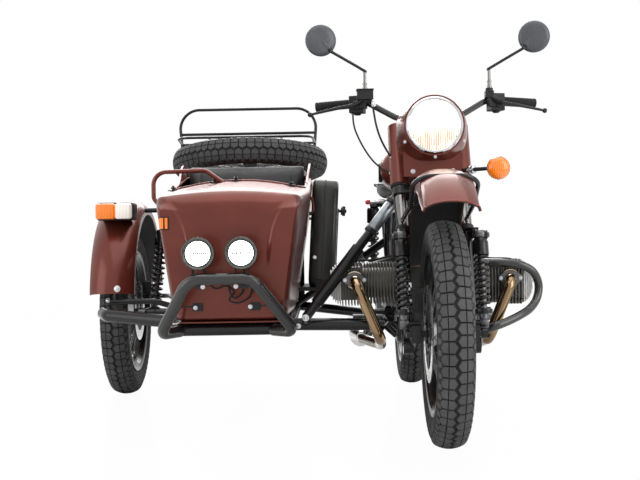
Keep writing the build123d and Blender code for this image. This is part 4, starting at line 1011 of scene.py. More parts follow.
indicator = Shape()
indicator.lathe(INDICATOR_AT, (0, -1, 0), [(24, 0), (23.2, 12), (20.5, 23), (15, 31), (6, 35), (2, 35.5)], 48)
indicator.make("indicator_lens", AMBER, "steering")
cup = Shape()
cup.lathe(INDICATOR_AT, (0, -1, 0), [(4, 36.5), (-6, 36), (-18, 31), (-28, 20), (-33, 8), (-33, 0)], 40)
cup.lathe(INDICATOR_AT, (0, -1, 0), [(3, 34), (4.5, 36.5), (2, 37.5), (-2, 37)], 40)
cup.tube([(172, 222, 853), (182, 216, 853)], 9.0, 14)
cup.make("indicator_cup", CHROME, "steering", replaces="front_indicator")
stalk = Shape()
stalk.tube([(96, 318, 853), (140, 262, 853), (172, 222, 853)], 6.5, 14)
stalk.make("indicator_stalk", IRON, "steering")
collar = Shape()
collar.lathe((124, 282, 853), (0.62, -0.78, 0), [(-10, 6), (-10, 14), (-7, 15), (-1, 15), (0, 10), (4, 10), (5, 13),
    (12, 13), (13, 6)], 24)
collar.lathe((200, 204, 817), (0, 0, -1), [(-2, 0), (-2, 4), (1.5, 4), (2.5, 3), (2.5, 0)], 12)
collar.make("indicator_collar", ZINC, "steering")

# ---------------------------------------------------------------- shock absorbers
def shock_parts(low, high, reach, shroud, shroud_r, turns, springs, bodies, steel):
    """A coil over its damper: the spring, the black body and the bright rod and eyes."""
    low, high = Vector(low), Vector(high)
    way = (high - low).normalized()
    run = (high - low).length
    side = Vector((1, 0, 0)) - way * way.x
    side.normalize()
    other = way.cross(side)
    first, last = 44.0, run - shroud - 2
    line = []
    for k in range(turns * 16 + 1):
        t = k / (turns * 16)
        angle = tau * turns * t
        line.append(low + way * (first + (last - first) * t) + (side * cos(angle) + other * sin(angle)) * (reach - 5.0))
    springs.tube(line, 5.0, 8)
    bodies.lathe(low, way, [(26, 8), (26, reach + 2), (30, reach + 4), (40, reach + 4), (42, reach), (42, 8)], 28)
    bodies.lathe(
        low, way, [(run - shroud, 8), (run - shroud, shroud_r), (run - shroud + 4, shroud_r + 0.6),
            (run - 24, shroud_r), (run - 14, shroud_r - 5), (run - 12, 8)], 32
    )
    steel.lathe(low, way, [(8, 0), (8, 13), (22, 15), (30, 15), (30, 11), (run - 20, 11), (run - 20, 0)], 24)
    for eye in (low, high):
        steel.lathe(eye - Vector((13, 0, 0)), (1, 0, 0), [(0, 6), (0, 14), (3, 16), (23, 16), (26, 14), (26, 6)], 24)


springs, bodies, steel = Shape(), Shape(), Shape()
for side in (1, -1):
    shock_parts((side * 122, 28, 372), (side * 122, 96, 640), 24, 66, 25, 9, springs, bodies, steel)
    bodies.lathe((side * 108, 96, 640), (side, 0, 0), [(0, 0), (0, 15), (36, 15), (38, 12), (38, 0)], 24)
    steel.bolt((side * 146, 96, 640), (side, 0, 0), 7, 5)
springs.make("front_springs", BLACK, "steering", replaces="front_shocks")
bodies.make("front_shock_bodies", BLACK, "steering")
steel.make("front_shock_rods", DARK_STEEL, "steering")
springs, bodies, steel = Shape(), Shape(), Shape()
for side in (1, -1):
    shock_parts((side * 156, 1461, 453), (side * 156, 1379, 773), 25, 80, 26, 9, springs, bodies, steel)
    bodies.lathe((side * 118, 1379, 773), (side, 0, 0), [(0, 0), (0, 13), (50, 13), (52, 10), (52, 0)], 20)
shock_parts((-1070, 1210, 350), (-1030, 1236, 690), 27, 80, 28, 10, springs, bodies, steel)
bodies.tube([(-1070, 1210, 350), (-1100, 1210, 346)], 11.5, 16)
springs.make("rear_springs", BLACK, "chassis", replaces="rear_shocks")
bodies.make("rear_shock_bodies", BLACK, "chassis")
steel.make("rear_shock_rods", DARK_STEEL, "chassis")

# ---------------------------------------------------------------- mirrors and controls
shells, glasses, stems, ferrules = Shape(), Shape(), Shape(), Shape()
for side in (1, -1):
    facing = Vector((side * 0.242, 0.965, 0.101)).normalized()
    centre = Vector((side * 362, 430, 1310))
    shells.lathe(
        centre, facing,
        [(-9, 0), (-8.9, 14), (-8.2, 28), (-6.4, 40), (-3, 49), (1.5, 53.2), (6, 54), (8.6, 53.2), (9, 51.5),
            (7.6, 50), (7.2, 49)], 64,
    )
    glasses.lathe(centre, facing, [(7.0, 0), (7.0, 50)], 56)
    back_of = centre - facing * 7
    shells.tube([(side * 328, 440.5, 1274), Vector((side * 336, 438, 1283)), Vector((side * 342, 436, 1291)),
        back_of + Vector((side * -4, 0, -6))], [7, 9.5, 10, 3], 20)
    elbow = soften([(side * 214, 476, 1160), (side * 214, 476, 1206), (side * 219, 474, 1213),
        (side * 330, 440, 1274)], 5)
    stems.tube(elbow, 5.0, 14)
    stems.tube([(side * 326, 441.5, 1272), (side * 336, 438, 1283)], [6.5, 10], 16)
    ferrules.lathe((side * 214, 476, 1144), (0, 0, 1), [(0, 0), (0, 9), (8, 9), (8, 7.2), (20, 7.2), (20, 8.4),
        (26, 8.4), (28, 5.6), (60, 5.6), (60, 0)], 24)
shells.make("mirror_shells", MIRROR_BACK, "steering", replaces="mirrors")
glasses.make("mirror_glasses", SIGHT, "steering")
stems.make("mirror_stems", IRON, "steering")
ferrules.make("mirror_mounts", HARD_CHROME, "steering")

grips, blocks, levers, pots = Shape(), Shape(), Shape(), Shape()
for side in (1, -1):
    start, end = Vector((side * 262, 515.4, 1101.4)), Vector((side * 384, 548.5, 1095.9))
    way = (end - start).normalized()
    length = (end - start).length
    profile = [(0, 11), (0, 17.5), (4, 17.5), (6, 15.6)]
    for k in range(18):
        profile += [(8 + 6 * k, 15.4), (9 + 6 * k, 16.4), (12.4 + 6 * k, 16.4), (13.4 + 6 * k, 15.4)]
    profile += [(length - 7, 15.6), (length - 6, 17), (length - 1, 16.5), (length, 12), (length, 0)]
    grips.lathe(start, way, profile, 32)
    turn = Matrix.Rotation(side * radians(15), 3, "Z")
    blocks.box((side * 240, 507, 1097), (50, 50, 60), turn)
    blocks.box((side * 228, 482, 1100), (40, 26, 40), turn)
    blocks.box((side * 246, 476, 1086), (18, 16, 14), turn)
    blocks.lathe((side * 240, 500, 1069), (0, 0.1, -1), [(0, 0), (0, 15), (6, 13), (10, 8), (10, 0)], 18)
    blocks.tube([(side * 222, 470, 1112), (side * 244, 462, 1098), (side * 262, 456, 1088)], [9, 9, 7], 12)
    # each lever's blade, curved and ending in a ball
    blade = soften([(side * 258, 457, 1089.4), (side * 300, 459.5, 1083), (side * 350, 468, 1073.5),
        (side * 398, 478.5, 1064)], 5)
    levers.tube(blade, [7.2 - 3.0 * k / (len(blade) - 1) for k in range(len(blade))], 12)
    levers.tube([(side * 397, 478, 1064.1), (side * 400, 478.5, 1063.6), (side * 405, 479.2, 1062.7),
        (side * 410, 480, 1061.8), (side * 412.5, 480.4, 1061.3)], [4.4, 7.6, 8.8, 7.4, 2.5], 14)
    levers.bolt((side * 252, 458, 1098), (0, 0, 1), 5, 5)
grips.make("grips", RUBBER, "steering", replaces="controls")
blocks.make("switch_blocks", PLASTIC, "steering", bevel=3.0)
levers.make("levers", IRON, "steering")
pots.box((-214, 474, 1126), (56, 46, 32))
pots.box((-214, 474, 1144), (60, 50, 5))
pots.tube([(-232, 474, 1112), (-196, 474, 1106)], 10, 16)
pots.box((214, 480, 1122), (30, 34, 24))
pots.lathe((214, 474, 1130), (0, 0, 1), [(0, 0), (0, 13), (12, 13), (14, 11), (14, 0)], 24)
pots.make("master_cylinder", PLASTIC, "steering", bevel=2.0)
cap_screws = Shape()
for x in (-229, -195):
    cap_screws.lathe((x, 474, 1144), (0, 0, 1), [(0, 0), (0, 3.4), (1.4, 3.4), (1.8, 2.6), (1.8, 0)], 14)
cap_screws.lathe((-188, 474, 1106), (0.4, -0.2, -0.9), [(0, 6), (6, 6), (6, 4.5), (22, 4.5), (22, 0)], 14)
for side in (1, -1):
    for x in (36, 56):
        cap_screws.lathe((side * x, 479, 1058), (0, -0.1, 1), [(0, 0), (0, 5), (5, 5), (5.6, 4.2), (5.6, 0)], 6)
cap_screws.make("control_screws", ZINC, "steering")

# ---------------------------------------------------------------- control cables
ROUTES = {
    "brake_hose": (3.5, [(-190, 474, 1112), (-184, 468, 1052), (-172, 440, 990), (-150, 412, 935), (-122, 402, 890)]),
    "throttle_cable": (3.0, [(-254, 508, 1090), (-260, 502, 1040), (-236, 480, 970), (-196, 450, 900),
        (-154, 426, 862), (-120, 404, 846)]),
}


def spline_of(name, points, radius):
    """A smooth line of the points, as a curve with a round section."""
    data = bpy.data.curves.new(name, "CURVE")
    data.dimensions = "3D"
    data.bevel_depth = radius / 1000
    data.bevel_resolution = 4
    data.resolution_u = 16
    data.use_fill_caps = True
    line = data.splines.new("NURBS")
    line.points.add(len(points) - 1)
    for point, place in zip(line.points, points):
        point.co = (*at(place), 1)
    line.order_u = 3
    line.use_endpoint_u = True
    return linked(name, data)


for number, (name, (radius, route)) in enumerate(ROUTES.items()):
    hose = spline_of(name, route, radius)
    hose.data.materials.append(RUBBER)
    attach(hose, "steering")
    if number == 0:
        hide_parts("cables")
sleeves = Shape()
for radius, route in ROUTES.values():
    start, ahead = Vector(route[0]), Vector(route[1])
    way = (ahead - start).normalized()
    sleeves.lathe(start, way, [(-2, 0), (-2, 6.4), (8, 6.4), (9, 5.4), (26, 5.0), (28, radius), (28, 0)], 18)
    back, end = Vector(route[-2]), Vector(route[-1])
    way = (end - back).normalized()
    sleeves.lathe(end - way * 22, way, [(0, radius), (1, 5), (14, 5), (15, 6.4), (22, 6.4), (22, 0)], 18)
sleeves.make("cable_ferrules", ZINC, "steering")

# ---------------------------------------------------------------- tank
def rounded_ring(y, width, z0, z1, corner, count=10):
    """A rounded rectangle standing across the machine at y."""
    ring = []
    hx, hz, cz = width / 2, (z1 - z0) / 2, (z0 + z1) / 2
    corner = min(corner, hx, hz)
    for sx, sz, start in CORNERS:
        for k in range(count):
            a = radians(start + 90 * k / (count - 1))
            ring.append((sx * (hx - corner) + corner * cos(a), y, cz + sz * (hz - corner) + corner * sin(a)))
    return ring


def run_of(rows, steps):
    """Rows of numbers with smooth ones added between them."""
    out, last = [], len(rows) - 1
    for i in range(last):
        p0, p1, p2, p3 = rows[max(i - 1, 0)], rows[i], rows[i + 1], rows[min(i + 2, last)]
        for k in range(steps):
            t = k / steps
            out.append([
                0.5 * (2 * b + (c - a) * t + (2 * a - 5 * b + 4 * c - d) * t**2 + (3 * b - a - 3 * c + d) * t**3)
                for a, b, c, d in zip(p0, p1, p2, p3)
            ])
    return [*out, rows[-1]]


tank = Shape()
# columns: Y, width, bottom Z, top Z, corner
TANK = [(552, 96, 850, 918, 30), (566, 160, 834, 936, 44), (596, 248, 812, 954, 62), (640, 306, 802, 962, 76),
    (720, 314, 800, 961, 78), (800, 298, 800, 952, 72), (880, 252, 802, 932, 58), (930, 206, 806, 912, 44),
    (955, 150, 820, 896, 36)]
tank.loft([rounded_ring(*row) for row in run_of(TANK, 4)])
tank.make("tank_shell", MAROON, "chassis", replaces="fuel_tank", smooth=60, slot="maroon_paint")
pads = Shape()
tank_rows = run_of(TANK, 6)
for side in (1, -1):
    rings = []
    for out, grow in ((-6, 1.0), (3.2, 1.0), (4.6, 0.93)):
        ring = []
        for k in range(40):
            a = tau * k / 40
            c, s = cos(a), sin(a)
            u = (abs(c) ** 0.55) * (1 if c >= 0 else -1) * 92 * grow
            v = (abs(s) ** 0.6) * (1 if s >= 0 else -1) * (34 - 6 * (c > 0)) * grow
            y = 772 + u
            half = next((row[1] for row in tank_rows if row[0] >= y), 200) / 2
            ring.append((side * (half + out), y, 872 + v))
        rings.append(ring)
    pads.loft(rings)
pads.make("knee_pads", RUBBER, "chassis", bevel=1.0)
cap = Shape()
cap.lathe((0, 690, 956), (0, 0, 1), [(0, 40), (3, 40), (4, 36), (6, 34), (14, 34), (17, 31), (18, 26), (18, 0)], 36)
cap.make("tank_cap", POLISHED, "chassis")
tap = Shape()
tap.tube([(-70, 742, 806), (-74, 740, 786), (-80, 738, 764)], [9, 9, 8], 14)
tap.tube([(-76, 738, 764), (-194, 736, 765)], 4.2, 12)
tap.lathe((-120, 737, 764.5), (1, 0, 0), [(0, 4), (0, 8), (16, 8), (16, 4)], 16)
tap.make("fuel_tap", ZINC, "chassis")
knob = Shape()
knob.lathe((-192, 736, 765), (-1, 0, 0), [(0, 0), (0, 6), (4, 9), (12, 9.5), (17, 7), (19, 0)], 20)
# the red lens material glows faintly; on this knob, which is no lamp, the glow is painted light
knob.make("fuel_tap_knob", RED, "chassis")
# spark plug leads
leads = Shape()
for side, y in CYLINDERS:
    leads.tube(soften([(side * 70, y + 30, 590), (side * 120, y - 30, 575), (side * 190, y - 70, 560),
        (side * 262, y - 82, 556), (side * 300, y - 78, 536)], 6), 3.6, 10)
    leads.tube([(side * 292, y - 79, 541), (side * 306, y - 76, 530)], [6.5, 8], 12)
leads.make("plug_leads", RUBBER, "chassis")

# ---------------------------------------------------------------- jerry can
CAN_L, CAN_H = 345.0, 430.0
lean = radians(3.5)
CAN_AT = Vector((-354 - CAN_H * sin(lean), 985, 438))


def on_can(u, v, w):
    """A point of the can: along it, up it and out from its middle plane."""
    return CAN_AT + Vector((0, 1, 0)) * u + Vector((sin(lean), 0, cos(lean))) * v + Vector((cos(lean), 0,
        -sin(lean))) * w


def can_outline(inset, w):
    """The can's side outline at w, cut off at a slant by the spout at its rear."""
    ring = []
    corners = [((CAN_L, 0), 44), ((CAN_L, CAN_H - 64), 34), ((CAN_L - 78, CAN_H), 34), ((0, CAN_H), 46), ((0, 0), 46)]
    count = len(corners)
    middle = Vector((CAN_L / 2, CAN_H / 2))
    shrink = Vector((1 - 2 * inset / CAN_L, 1 - 2 * inset / CAN_H))
    for i, (point, radius) in enumerate(corners):
        p = Vector(point)
        a, b = (Vector(corners[i - 1][0]) - p).normalized(), (Vector(corners[(i + 1) % count][0]) - p).normalized()
        reach = radius * tan((pi - a.angle(b)) / 2)
        start, end = p + a * reach, p + b * reach
        for k in range(8):
            t = k / 7
            q = middle + (start * (1 - t) ** 2 + p * 2 * t * (1 - t) + end * t**2 - middle) * shrink
            ring.append(on_can(q.x, q.y, w))
    return ring


can = Shape()
skin = [(56, 44), (48, 44.5), (40, 50), (30, 51.8), (14, 50), (5, 43), (2, 36), (2, 3), (0.3, 1.6)]
can.loft([can_outline(i, -w) for i, w in skin] + [can_outline(i, w) for i, w in reversed(skin)])
for w in (1, -1):
    for slant in (1, -1):
        start, end = on_can(82, 215 - slant * 118, w * 43.5), on_can(CAN_L - 82, 215 + slant * 118, w * 43.5)
        can.tube([start, start.lerp(end, 0.3), start.lerp(end, 0.7), end], [4, 7.5, 7.5, 4], 12)
can.make("can_body", CAN_PAINT, "chassis", replaces="jerry_can", slot="olive_paint")
can_cap = Shape()
corner = on_can(CAN_L - 39, CAN_H - 32, 0)
way = (on_can(64, 78, 0) - on_can(0, 0, 0)).normalized()
can_cap.lathe(corner - way * 12, way, [(0, 0), (0, 22), (10, 22), (12, 26), (26, 26), (29, 22), (29, 0)], 28)
can_cap.make("can_cap", IRON, "chassis")
clamp = Shape()
clamp.box(on_can(64, 150, 54.5), (4, 34, 330), Matrix.Rotation(lean, 3, "Y"))
clamp.lathe(on_can(64, 306, 54), on_can(0, 0, 1) - on_can(0, 0, 0),
    [(0, 0), (0, 6), (10, 6), (11, 15), (13, 16), (24, 14), (26, 8), (32, 7), (33, 0)], 20)
clamp.box(on_can(64, 306, 76), (12, 12, 38), Matrix.Rotation(lean, 3, "Y"))
clamp.make("can_clamp", IRON, "chassis", bevel=0.8)
strap_bolt = Shape()
strap_bolt.bolt(on_can(-1, 120, -30), (0, -1, 0), 5, 4)
strap_bolt.bolt((-368, 982, 446), (0, -1, 0), 5, 4)
strap_bolt.make("can_bolts", ZINC, "chassis")
bracket = Shape()
bracket.box((-372, 982.5, 452), (60, 4, 40))
bracket.box((-392, 1158, 441), (118, 342, 4))
bracket.make("can_tray", IRON, "chassis", bevel=1.0)

# ---------------------------------------------------------------- front end
def guard_skin(centre, radius, start, end, half_width, drop, skirt, x_mid=0.0, thin=2.0, power=2.6):
    """A mudguard: its crowned section carried round centre, with skirts that fade in from the front lip."""
    cy, cz = centre
    shape = Shape()
    rings = []
    steps = max(int((end - start) / 2.2), 8)
    for k in range(steps + 1):
        share = k / steps
        angle = radians(start + (end - start) * share)
        deep = skirt * min(1, 0.30 + share * 6)
        line = []
        for j in range(25):
            u = -1 + 2 * j / 24
            line.append((u * (half_width - 3), radius - drop * abs(u) ** power))
        side = [(half_width - 1.2, radius - drop - deep * 0.35), (half_width, radius - drop - deep * 0.7),
            (half_width + 1.5, radius - drop - deep)]
        outer = [(-x, r) for x, r in reversed(side)] + line + side
        inner = [(x * (1 - thin / half_width), r - thin) for x, r in reversed(outer)]
        rings.append([(x_mid + x, cy - r * cos(angle), cz + r * sin(angle)) for x, r in outer + inner])
    shape.loft(rings)
    edge = len(outer)
    left, right = [ring[0] for ring in rings], [ring[edge - 1] for ring in rings]
    front = [rings[0][k] for k in range(edge)]
    shape.tube([*reversed(left), *front[1:-1], *right], 2.6, 8)
    return shape


guard_skin((7, 444), 398, 47.5, 166, 80, 24, 44).make("front_mudguard_skin", MAROON, "steering",
    replaces="front_mudguard", smooth=50, slot="maroon_paint")
# near-black sheets just inside the sidecar and rear mudguards: painted shade under them
for name, centre, radius, start, end, half_width, x_mid in (
    ("sidecar_mudguard_painted_shade", (1300, 384), 425, 8, 171, 86, -1187),
        ("rear_mudguard_painted_shade", (1475, 343), 428, 79, 195, 82, 0),
):
    thickness = 4.6
    guard_skin(centre, radius - thickness, start, end, half_width - thickness, 42, 17, x_mid, thin=1.2,
        power=2.0).make(name, SHADE_LINING, "chassis", smooth=50)
tubes = Shape()
for side in (1, -1):
    low, high = Vector((side * FORK_X, steer_y(655), 655)), Vector((side * FORK_X, steer_y(803), 803))
    tubes.lathe(low, high - low, [(0, 19), (0, 19.6), ((high - low).length, 19.6), ((high - low).length, 19)], 32)
tubes.make("fork_tubes", HARD_CHROME, "steering")
# a near-black sheet just inside the front mudguard: painted shade under it
inner_shade = guard_skin((7, 444), 395, 47.8, 165.5, 77, 24, 43)
inner_shade.make("front_mudguard_painted_shade", SHADE_LINING, "steering", smooth=50)
collars = Shape()
for side in (1, -1):
    for z, height, r in ((648, 22, 24), (800, 7, 30)):
        base = Vector((side * FORK_X, steer_y(z), z))
        collars.lathe(base, (0, sin(radians(RAKE)), cos(radians(RAKE))),
            [(0, 18), (0, r), (2, r + 1), (height - 2, r + 1), (height, r), (height, 18)], 32)
collars.make("fork_collars", IRON, "steering", bevel=0.6)

caliper = Shape()
caliper.box((-92, 88, 436), (12, 54, 70))
caliper.box((-99, 70, 424), (10, 26, 22))
caliper.box((-78, 96, 441), (38, 40, 78))
caliper.lathe((-104, 72, 441), (1, 0, 0), [(-4, 0), (-4, 18), (0, 22), (10, 22), (10, 0)], 28)
caliper.box((-92, 108, 400), (12, 42, 62))
caliper.tube(soften([(-96, 108, 470), (-98, 122, 500), (-104, 128, 540), (-112, 160, 600), (-126, 230, 690),
    (-132, 300, 780)], 6), 3.4, 10)
caliper.make("front_caliper_body", BLACK, "steering", replaces="front_caliper", bevel=3.0)
fitting = Shape()
fitting.bolt((-104, 62, 472), (-1, 0, 0), 5, 4)
fitting.bolt((-104, 62, 412), (-1, 0, 0), 5, 4)
fitting.lathe((-96, 108, 478), (0, 0.3, 1), [(-8, 0), (-8, 6), (0, 6), (0, 4.6), (16, 4.6), (16, 0)], 14)
fitting.lathe((-100, 60, 441), (-0.4, -1, 0), [(0, 0), (0, 8), (8, 8), (10, 5), (10, 0)], 18)
fitting.make("front_caliper_bolts", ZINC, "steering")

# ---------------------------------------------------------------- engine
covers = Shape()
for side, centre_y in CYLINDERS:
    for k, (x, ly, lz, r) in enumerate(((311, 150, 144, 26), (319, 144, 138, 28), (327, 134, 128, 30),
        (335, 120, 114, 32), (342, 98, 92, 32))):
        rings = []
        for dx, grow in ((-1.8, 0.985), (-1.0, 1.0), (1.0, 1.0), (1.8, 0.985)):
            ring = rounded_ring(0, ly * grow, CYLINDER_Z - lz * grow / 2, CYLINDER_Z + lz * grow / 2, r)
            rings.append([(side * (x + dx), centre_y + px, pz) for px, _, pz in ring])
        covers.loft(rings)
    rings = []
    for x, ly, lz, r in ((308, 128, 122, 30), (330, 118, 112, 34), (341, 90, 84, 34), (346, 60, 54, 24)):
        rings.append([(side * x, centre_y + px, pz) for px, _, pz in rounded_ring(0, ly, CYLINDER_Z - lz / 2,
            CYLINDER_Z + lz / 2, r)])
    covers.loft(rings)
covers.make("finned_covers", BRIGHT_ALLOY, "chassis", replaces="rocker_covers", slot="cast_alloy")
cover_nuts = Shape()
for side, centre_y in CYLINDERS:
    cover_nuts.lathe((side * 345, centre_y, CYLINDER_Z), (side, 0, 0),
        [(0, 0), (0, 10), (3, 10), (4, 7), (9, 7), (10, 5), (10, 0)], 6)
cover_nuts.make("cover_nuts", ZINC, "chassis")
flanges, studs = Shape(), Shape()
for side, y in ((1, 390), (-1, 428)):
    flanges.loft([
        [(side * (262 + rx * cos(tau * k / 40) * (1 + 0.32 * abs(cos(tau * k / 40)) ** 6)), yy,
            492 + 27 * sin(tau * k / 40) * (rx / 31)) for k in range(40)]
        for yy, rx in ((y - 3, 31), (y - 12, 31), (y - 14, 29))
    ])
    for x in (-1, 1):
        studs.bolt((side * 262 + x * 33, y - 13, 492), (0, -1, 0), 4.5, 7)
flanges.make("header_flanges", DARK_STEEL, "chassis", bevel=0.8)
studs.make("header_studs", ZINC, "chassis")

# ---------------------------------------------------------------- sidecar fixings
sleeves, bands = Shape(), Shape()
foot, top = Vector((-429, 362, 372)), Vector((-112, 474, 772))
way = (top - foot).normalized()
run = (top - foot).length
sleeves.lathe(foot + way * run * 0.73, way, [(0, 16), (0, 19), (3, 20.5), (run * 0.2, 20.5), (run * 0.2 + 3, 19),
    (run * 0.2 + 3, 16)], 28)
for share in (0.7, 0.945):
    bands.lathe(foot + way * run * share, way, [(0, 16), (0, 24), (12, 24), (12, 16)], 6)
    bands.lathe(foot + way * (run * share + 12), way, [(0, 16), (0, 19), (14, 19), (14, 16)], 20)
foot, top = Vector((-458, 1480, 368)), Vector((-112, 1172, 620))
way = (top - foot).normalized()
sleeves.lathe(foot + way * 330, way, [(0, 16), (0, 19), (3, 20.5), (66, 20.5), (69, 19), (69, 16)], 28)
bands.lathe(foot + way * 316, way, [(0, 16), (0, 24), (12, 24), (12, 16)], 6)
sleeves.make("strut_sleeves", SLEEVE_ZINC, "chassis")
bands.make("strut_nuts", IRON, "chassis", bevel=0.8)
clamps = Shape()
for x, y, z in ((-485, 362, 366), (-485, 1101, 366), (-905, 905, 366), (-905, 1285, 366)):
    clamps.bolt((x, y, z), (0, 0, 1), 7, 6)
clamps.bolt((-118, 458, 768), (0, -1, 0), 8, 7)
clamps.bolt((-429, 344, 372), (0, -1, 0), 8, 7)
clamps.bolt((-452, 284, 350), (0, -1, 0), 6, 5)
clamps.make("frame_bolts", ZINC, "chassis")

# coaming that rises beside the seat's back
coaming_wall = Shape()
_, y1, half, corner = COCKPIT
for side in (1, -1):
    path = []
    for k in range(25):
        y = 905 + (y1 - corner - 905) * k / 24
        path.append((side * (half + 2), y))
    for k in range(1, 10):
        path.append((side * (half + 2), y1 - corner + 10 * k))
    lines = []
    for x, y in path:
        rise = min(max((y - 905) / 235, 0), 1)
        fall = min(max((y - 1160) / 60, 0), 1)
        lift = 2 + 50 * rise * rise * (3 - 2 * rise) * (1 - fall * fall)
        z = deck_z(x, y)
        lean = side * 10 * lift / 54
        lines.append(((TUB_X + x, y, z - 2), (TUB_X + x + lean, y, z + lift)))
    rings = []
    for low, high in lines:
        low, high = Vector(low), Vector(high)
        out = Vector((side * 1.6, 0, 0))
        rings.append([low - out, high - out, high + out, low + out])
    coaming_wall.loft(rings)
    coaming_wall.tube([high for _, high in lines], 5.2, 10)
coaming_wall.make("cockpit_sides", MAROON, "chassis", smooth=50)
hoop = Shape()
hoop.tube(soften([(-486, 716, 804), (-446, 724, 799), (-414, 735, 790), (-404, 738, 768), (-404, 738, 736),
    (-417, 738, 727)], 6), 4.6, 12)
hoop.make("cover_hoop", MAROON, "chassis")
hoop_bolt = Shape()
hoop_bolt.bolt((-418, 738, 726), (1, 0, 0), 6, 9)
hoop_bolt.bolt((-418, 738, 708), (1, 0, 0), 4.5, 7)
hoop_bolt.make("cover_hoop_bolts", IRON, "chassis")

# ---------------------------------------------------------------- guards, brakes and lamp behind
guard_bar = Shape()
guard_bar.tube(
    soften([(106, 376, 545), (144, 384, 545.5), (188, 376, 545), (240, 367, 543), (290, 368, 537), (330, 377, 518),
        (351, 388, 490), (358, 394, 456), (347, 382, 418), (318, 352, 388), (276, 318, 368), (230, 291, 351),
        (184, 278, 336), (142, 306, 320), (110, 376, 308)], 8),
    14.0, 20,
)
guard_bar.make("engine_guard_bar", TUBE_BLACK, "chassis", replaces="engine_guard")

tail_y = 1475 + 428 * cos(radians(28))
tail_z = 343 + 428 * sin(radians(28))
housing, red, plate, clip = Shape(), Shape(), Shape(), Shape()
housing.loft([
    rounded_ring(tail_y + dy, w, tail_z + 34 - h / 2, tail_z + 34 + h / 2, 14)
    for dy, w, h in ((-3, 70, 48), (4, 90, 60), (26, 96, 66), (40, 96, 66), (42, 92, 62))
])
red.loft([
    rounded_ring(tail_y + dy, w, tail_z + 34 - h / 2, tail_z + 34 + h / 2, 13)
    for dy, w, h in ((41, 90, 60), (50, 89, 59), (55.5, 84, 54), (57, 74, 44))
])
plate.loft([
    rounded_ring(tail_y + 48 + dy, 200 * g, tail_z - 66 - 60 * g, tail_z - 66 + 60 * g, 9)
    for dy, g in ((-1.5, 0.985), (-1, 1), (1, 1), (1.5, 0.985))
])
clip.box((0, tail_y + 34, tail_z - 10), (28, 28, 60))
clip.box((0, tail_y + 45, tail_z - 66), (60, 3, 90))
for x, z in ((-40, 36), (40, 36)):
    clip.bolt((x, tail_y + 49.5, tail_z - 66 + z), (0, 1, 0), 4, 3)
housing.make("tail_lamp_housing", IRON, "chassis", replaces="tail_lamp", bevel=0.8)
red.make("tail_lamp_lens", RED, "chassis")
plate.make("blank_plate", PLASTIC, "chassis")
clip.make("plate_bracket", IRON, "chassis", bevel=0.8)

brakes, brake_pins = Shape(), Shape()
for x, y, z in ((92, 1431, 453), (-1109, 1335, 427)):
    brakes.box((x, y, z), (26, 66, 50), Matrix.Rotation(radians(-24), 3, "X"))
    for dy in (-17, 17):
        brakes.lathe((x + 10, y + dy, z + 2), (1, 0, 0), [(0, 0), (0, 15), (9, 15), (12, 12), (12, 0)], 22)
        brake_pins.bolt((x + 21, y + dy, z + 2), (1, 0, 0), 4, 3)
brakes.make("rear_caliper_bodies", IRON, "chassis", bevel=2.5)
brake_pins.make("rear_caliper_pins", ZINC, "chassis")


# ---------------------------------------------------------------- cushions
def plump(name, shape, body, replaces, limit, grooves=(), cap=7.0):
    """A padded piece: swollen by cloth pressure inside its box, then sewn channels pressed in."""
    thing = solid_mesh(shape, name, merge=1e-5)
    grid = thing.modifiers.new("remesh", "REMESH")
    grid.mode = "VOXEL"
    grid.voxel_size = PAD_GRID
    made = applied(thing)
    rest = [v.co.copy() for v in made.vertices]
    cloth = thing.modifiers.new("cloth", "CLOTH")
    settings = cloth.settings
    settings.use_pressure = True
    settings.uniform_pressure_force = PAD_PRESSURE
    settings.effector_weights.gravity = 0.0
    settings.quality = 4
    settings.mass = 0.4
    settings.tension_stiffness = settings.compression_stiffness = 18.0
    settings.bending_stiffness = 1.2
    cloth.collision_settings.use_collision = False
    for step in range(1, PAD_FRAMES + 1):
        bpy.context.scene.frame_set(step)
    graph = bpy.context.evaluated_depsgraph_get()
    swollen = bpy.data.meshes.new_from_object(thing.evaluated_get(graph))
    thing.modifiers.clear()
    moved = [v.co.copy() for v in swollen.vertices]
    bpy.context.scene.frame_set(1)
    for vertex, before, after in zip(made.vertices, rest, moved):
        step = after - before
        if step.length > cap / 1000:
            step = step.normalized() * cap / 1000
        vertex.co = before + step
    low, high = (at(p) for p in limit)
    for vertex in made.vertices:
        p = vertex.co
        for channel in grooves:
            axis, value, depth, width, face = channel
            distance = (p[axis] - (at((value, value, value))[axis])) * 1000
            if abs(distance) < 4 * width:
                normal = Vector(face)
                if vertex.normal.dot(normal) > 0.4:
                    p -= normal * depth / 1000 * NEAR_E ** (-((distance / width) ** 2))
        vertex.co = Vector([min(max(c, a), b) for c, a, b in zip(p, low, high)])
    made.materials.clear()
    made.materials.append(VINYL)
    for face in made.polygons:
        face.use_smooth = True
    rounder = thing.modifiers.new("smooth", "SUBSURF")
    rounder.levels = rounder.render_levels = 1
    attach(thing, body)
    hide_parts(replaces)
    return thing


saddle = Shape()
SADDLE = [(966, 120, 812, 846, 16), (980, 186, 806, 852, 20), (1040, 220, 804, 856, 24), (1180, 286, 804, 862, 28),
    (1420, 288, 806, 872, 28), (1560, 262, 808, 870, 28), (1636, 206, 812, 864, 24), (1650, 130, 818, 858, 18)]
saddle.loft([rounded_ring(*row) for row in run_of(SADDLE, 4)])
plump("saddle", saddle, "chassis", "bench_saddle", ((-150, 962, 800), (150, 1655, 880)),
    [(1, y, 4.5, 5, (0, 0, 1)) for y in (1080, 1160, 1240, 1320, 1400, 1480, 1560)])
welts = Shape()
rows = run_of(SADDLE, 4)
for side in (1, -1):
    welts.tube([(side * (row[1] / 2 + 3), row[0], row[3] - 15) for row in rows[2:-2]], 3.2, 8)
welts.make("saddle_piping", RUBBER, "chassis")

